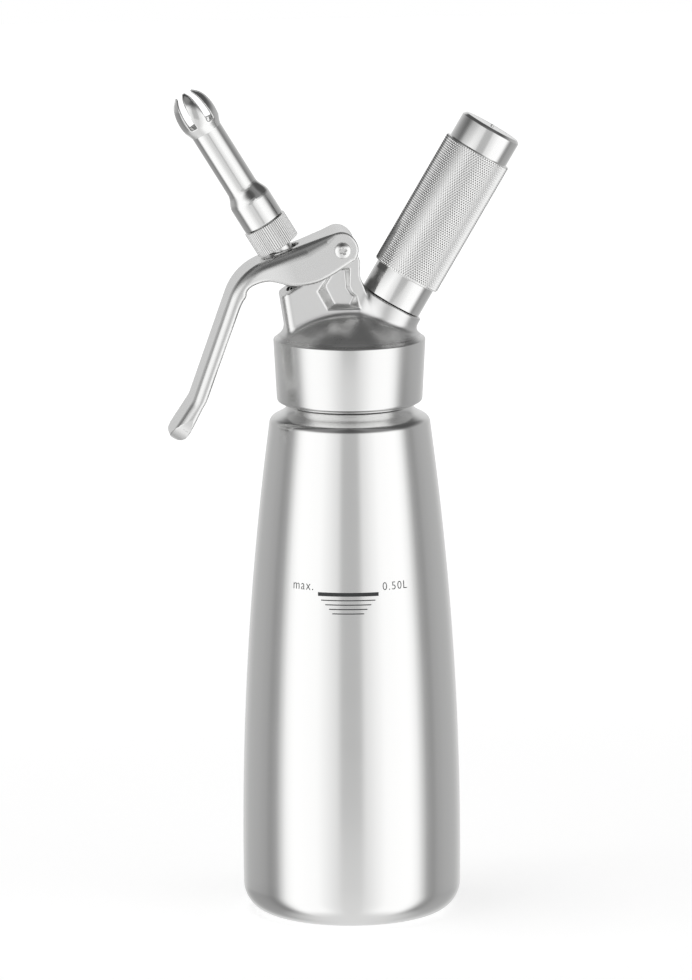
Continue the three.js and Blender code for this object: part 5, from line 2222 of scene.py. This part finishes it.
@dataclass(frozen=True)
class Holder:
    """The charger holder: plain foot and cap bands with a diamond knurl between them."""

    bottom: float = 0.3
    length: float = 72.9
    radius: float = 11.5
    thread_bore: float = 10.3
    foot: float = 10.6
    cap: float = 9.9
    grip: float = 1.25
    chamfer: float = 1.0
    nib_radius: float = 0.6
    nib_height: float = 0.7
    cavity_radius: float = 9.2
    cavity_top: float = 68.1
    thread_start: float = 1.625
    thread_top: float = 9.5
    step_share: float = 0.35
    knurl_around: int = 84
    knurl_height: float = 0.28
    knurl_angle: float = 30.0
    knurl_sunk: float = 0.05
    knurl_margin: float = 0.25

    def build(self) -> list[bpy.types.Object]:
        """Builds the holder.

        Returns:
            Its pieces.
        """
        seat = Seat("charger_holder", "holder")
        body = revolve(self.outline(), WIDE_ROUND)
        thread = ("holder_thread", self.thread_bore, self.thread_start, seat, HOLDER_STEEL, CHARGER)
        return [
            make_piece("holder_body", body, seat, HOLDER_STEEL, CHARGER, crease=22),
            self.knurl(seat),
            HOLDER_THREAD.piece(*thread, inward=True),
        ]

    def grip_radius(self) -> float:
        """Returns the radius over the knurl."""
        return self.radius + self.grip

    def outline(self) -> Outline:
        """Draws the holder.

        Returns:
            Its profile, with the knurl's root as its middle.
        """
        top = self.bottom + self.length
        root = self.grip_radius() - self.knurl_height
        low, high = self.bottom + self.foot, top - self.cap
        step = self.step_share * (root - self.radius)
        return soften([
            (0, self.cavity_top), (self.cavity_radius, self.cavity_top, 1.0),
            (self.cavity_radius, self.thread_top, FINE_EDGE), (self.thread_bore, self.thread_top),
            (self.thread_bore, self.bottom, FINE_EDGE), (self.radius, self.bottom, EDGE),
            (self.radius, low),
            (root, low + step, FINE_EDGE), (root, high - step, FINE_EDGE), (self.radius, high),
            (self.radius, top - self.chamfer, 0.12), (self.radius - self.chamfer, top, 0.12),
            (self.nib_radius, top), (self.nib_radius, top + self.nib_height, 0.25),
            (0, top + self.nib_height),
        ])

    def knurl(self, seat: Seat) -> bpy.types.Object:
        """Sets the diamond knurl's teeth round the holder.

        Args:
            seat: The holder's node and body.

        Returns:
            The knurl as one piece.
        """
        radius = self.grip_radius()
        width = TURN * radius / self.knurl_around
        long = width / math.tan(math.radians(self.knurl_angle))
        low = self.bottom + self.foot + self.knurl_margin
        high = self.bottom + self.length - self.cap - self.knurl_margin
        rows = int((high - low) / (long / 2))
        rise = (high - low - long) / (rows - 2)
        inputs = {
            "Radius": radius - self.knurl_height - self.knurl_sunk, "Start": low + long / 2, "Rise": rise,
            "Around": self.knurl_around, "Rows": rows - 1, "Tooth Width": width, "Tooth Length": long,
            "Tooth Height": self.knurl_height + self.knurl_sunk,
        }
        return grow("holder_knurl", TEETH, inputs, seat, KNURL_STEEL, CHARGER)


# Stage, light and camera

@dataclass(frozen=True)
class Stage:
    """A plain white floor that keeps the object's shadow."""

    half_width: float = 2500.0
    grey: float = 0.8
    roughness: float = 0.9
    lifts: tuple[float, float] = (0.63, 0.86)
    lift_reach: tuple[float, float] = (0.2, 1.2)

    def build(self) -> None:
        """Makes the floor."""
        size = self.half_width * MM
        mesh = bpy.data.meshes.new("floor")
        corners = [(-size, -size, 0), (size, -size, 0), (size, size, 0), (-size, size, 0)]
        mesh.from_pydata(corners, [], [(0, 1, 2, 3)])
        floor = add_object("floor", mesh)
        made, tree, shader = new_material("white_floor")
        shader.inputs["Base Color"].default_value = (self.grey, self.grey, self.grey, 1)
        shader.inputs["Roughness"].default_value = self.roughness
        shader.inputs["Specular IOR Level"].default_value = 0.0
        ray = tree.add("ShaderNodeLightPath")
        place = tree.add("ShaderNodeTexCoord").named("Object")
        away = tree.add("ShaderNodeVectorMath", {"operation": "LENGTH"}, {0: place}).named("Value")
        lift = tree.step(away, *self.lift_reach, *self.lifts)
        glow = tree.add("ShaderNodeEmission", {}, {"Strength": ray.named("Is Camera Ray") * lift})
        lit = tree.add("ShaderNodeAddShader", {}, {0: Wire(tree, shader.outputs[0]), 1: glow})
        clear = tree.add("ShaderNodeBsdfTransparent")
        mirrored = ray.named("Is Glossy Ray")
        surface = tree.add("ShaderNodeMixShader", {}, {0: mirrored, 1: lit, 2: clear})
        output = made.node_tree.nodes["Material Output"]
        tree.nodes.links.new(surface.socket, output.inputs["Surface"])
        mesh.materials.append(made)


@dataclass(frozen=True)
class Studio:
    """Soft studio panels round the object, given by their direction from the camera's own.

    Walls and ceiling are (degrees from the front, brightness) for either side. The dim ceiling starts low
    in front and at the sides, and higher behind, where the white backdrop runs up.
    """

    facing: float = -5.2
    walls: Pairs = (
        (0, 0.9), (10, 0.9), (15, 0.94), (20, 0.99), (28, 1.12), (38, 1.26), (66, 1.3), (74, 1.18),
        (81, 0.8), (88, 0.42), (97, 0.35), (106, 0.45), (122, 0.5), (138, 0.53), (148, 0.6), (160, 0.72),
        (180, 0.84),
    )
    ceilings: Pairs = (
        (0, 0.09), (15, 0.12), (35, 0.25), (65, 0.29), (85, 0.15), (100, 0.1), (180, 0.1),
    )
    ceiling_heights: tuple[float, float] = (0.2, 0.62)
    backdrop_heights: tuple[float, float] = (0.3, 0.75)
    backdrop_turn: tuple[float, float] = (0.75, 0.95)
    stripe_edge: tuple[float, float] = (10.0, 15.0)
    stripe_heights: tuple[float, float] = (-0.22, -0.165)
    stripe_depths: tuple[float, float] = (0.08, 0.36)
    ground: float = 0.85
    ground_heights: tuple[float, float] = (-0.72, -0.99)
    side_heights: tuple[float, float] = (-0.2, -0.3)
    side_turns: tuple[float, float, float, float] = (80.0, 95.0, 150.0, 165.0)
    side_depths: tuple[float, float] = (0.26, 0.1)
    side_change: tuple[float, float] = (-0.2, 0.2)
    key_power: float = 11.0
    key_size: float = 1.0
    key_place: tuple[float, float, float] = (-0.35, -0.1, 2.3)

    def build(self) -> None:
        """Makes the world's light and the lamp that casts the floor's shadow."""
        world = bpy.data.worlds.new("studio")
        bpy.context.scene.world = world
        world.use_nodes = True
        tree = Tree(world.node_tree)
        background = world.node_tree.nodes["Background"]
        seen = tree.add("ShaderNodeLightPath").named("Is Camera Ray")
        strength = self.light(tree) * (1 - seen) + seen
        background.inputs["Color"].default_value = (1, 1, 1, 1)
        tree.nodes.links.new(strength.socket, background.inputs["Strength"])
        self.key()

    def light(self, tree: Tree) -> Wire:
        """Works out how bright the surroundings are in each direction.

        Args:
            tree: The world's tree.

        Returns:
            The brightness.
        """
        way = tree.add("ShaderNodeTexCoord").named("Generated")
        x = tree.add("ShaderNodeSeparateXYZ", {}, {0: way})
        y, z = x.named("Y"), x.named("Z")
        facing = math.radians(self.facing)
        right = x * math.cos(facing) + y * math.sin(facing)
        front = x * math.sin(facing) - y * math.cos(facing)
        degrees = right.maths("ABSOLUTE", right.maths("ARCTAN2", right, front)) * (360 / TURN)
        wall = self.ramp(tree, degrees, self.walls)
        stripe = 1 - tree.step(degrees, *self.stripe_edge)
        lower, upper = self.stripe_depths
        wall = wall * (1 - stripe * (tree.step(z, *self.stripe_heights) * (upper - lower) + lower))
        starts, ends, turned_in, turned_out = self.side_turns
        side = tree.step(degrees, starts, ends) * (1 - tree.step(degrees, turned_in, turned_out))
        left_depth, right_depth = self.side_depths
        depth = tree.step(right, *self.side_change) * (right_depth - left_depth) + left_depth
        wall = wall * (1 - side * depth * tree.step(z, *self.side_heights))
        behind = tree.step(front * -1, *self.backdrop_turn)
        low, high = zip(self.ceiling_heights, self.backdrop_heights)
        up = tree.step(z, behind * (low[1] - low[0]) + low[0], behind * (high[1] - high[0]) + high[0])
        down = tree.step(z, *self.ground_heights)
        wall = wall * (1 - down) + down * self.ground
        return wall * (1 - up) + up * self.ramp(tree, degrees, self.ceilings)

    def ramp(self, tree: Tree, degrees: Wire, values: Pairs) -> Wire:
        """Makes a brightness that runs smoothly through values.

        Args:
            tree: The world's tree.
            degrees: The angle from the front.
            values: Pairs of an angle and its brightness.

        Returns:
            The brightness.
        """
        peak = max(value for _, value in values)
        stops = [(angle / 180, value / peak) for angle, value in values]
        return tree.add("ShaderNodeValToRGB", {"stops": stops, "blend": "EASE"}, {0: degrees / 180}) * peak

    def key(self) -> None:
        """Makes a soft lamp, unseen in reflections, that gives the floor its faint shadow."""
        data = bpy.data.lights.new("key", "AREA")
        data.energy, data.size = self.key_power, self.key_size
        lamp = add_object("key", data)
        place = Vector(self.key_place)
        lamp.matrix_world = Matrix.Translation(place) @ place.to_track_quat("Z", "Y").to_matrix().to_4x4()
        lamp.visible_glossy = False


@dataclass(frozen=True)
class Camera:
    """The camera at the photograph's viewing angle."""

    azimuth: float = -5.2
    elevation: float = 10.2
    roll: float = -0.28
    distance: float = 3500.0
    aim_height: float = 155.0
    lens: float = 354.98
    sensor: float = 36.0
    shift: tuple[float, float] = (-0.00416, -0.00028)
    clip: tuple[float, float] = (0.1, 20.0)

    def build(self) -> None:
        """Makes the scene's camera."""
        azimuth, elevation, roll = (math.radians(a) for a in (self.azimuth, self.elevation, self.roll))
        back = Vector((
            math.sin(azimuth) * math.cos(elevation),
            -math.cos(azimuth) * math.cos(elevation),
            math.sin(elevation),
        ))
        level = Vector((math.cos(azimuth), math.sin(azimuth), 0))
        upright = back.cross(level)
        right = level * math.cos(roll) + upright * math.sin(roll)
        up = upright * math.cos(roll) - level * math.sin(roll)
        data = bpy.data.cameras.new("camera")
        data.lens = self.lens
        data.sensor_width = self.sensor
        data.shift_x, data.shift_y = self.shift
        data.clip_start, data.clip_end = self.clip
        camera = add_object("camera", data)
        place = Matrix((right, up, back)).transposed().to_4x4()
        place.translation = Vector((0, 0, self.aim_height * MM)) + back * self.distance * MM
        camera.matrix_world = place
        bpy.context.scene.camera = camera
        bpy.context.scene.view_settings.view_transform = "Standard"


def main() -> None:
    """Builds the sub-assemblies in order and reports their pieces."""
    logging.basicConfig(level=logging.INFO, format="%(name)s: %(message)s", force=True)
    for part in (Camera(), Studio(), Stage()):
        part.build()
    parts = [
        Bottle(), HeadGasket(), Head(), Lever(), Pivot(), Valve(), Nozzle(), Piercer(), GasCharger(),
        Holder(),
    ]
    for part in parts:
        for piece in part.build():
            log.info("%s: %s, %d faces", type(part).__name__, piece.name, len(piece.data.polygons))


if __name__ == "__main__":
    main()
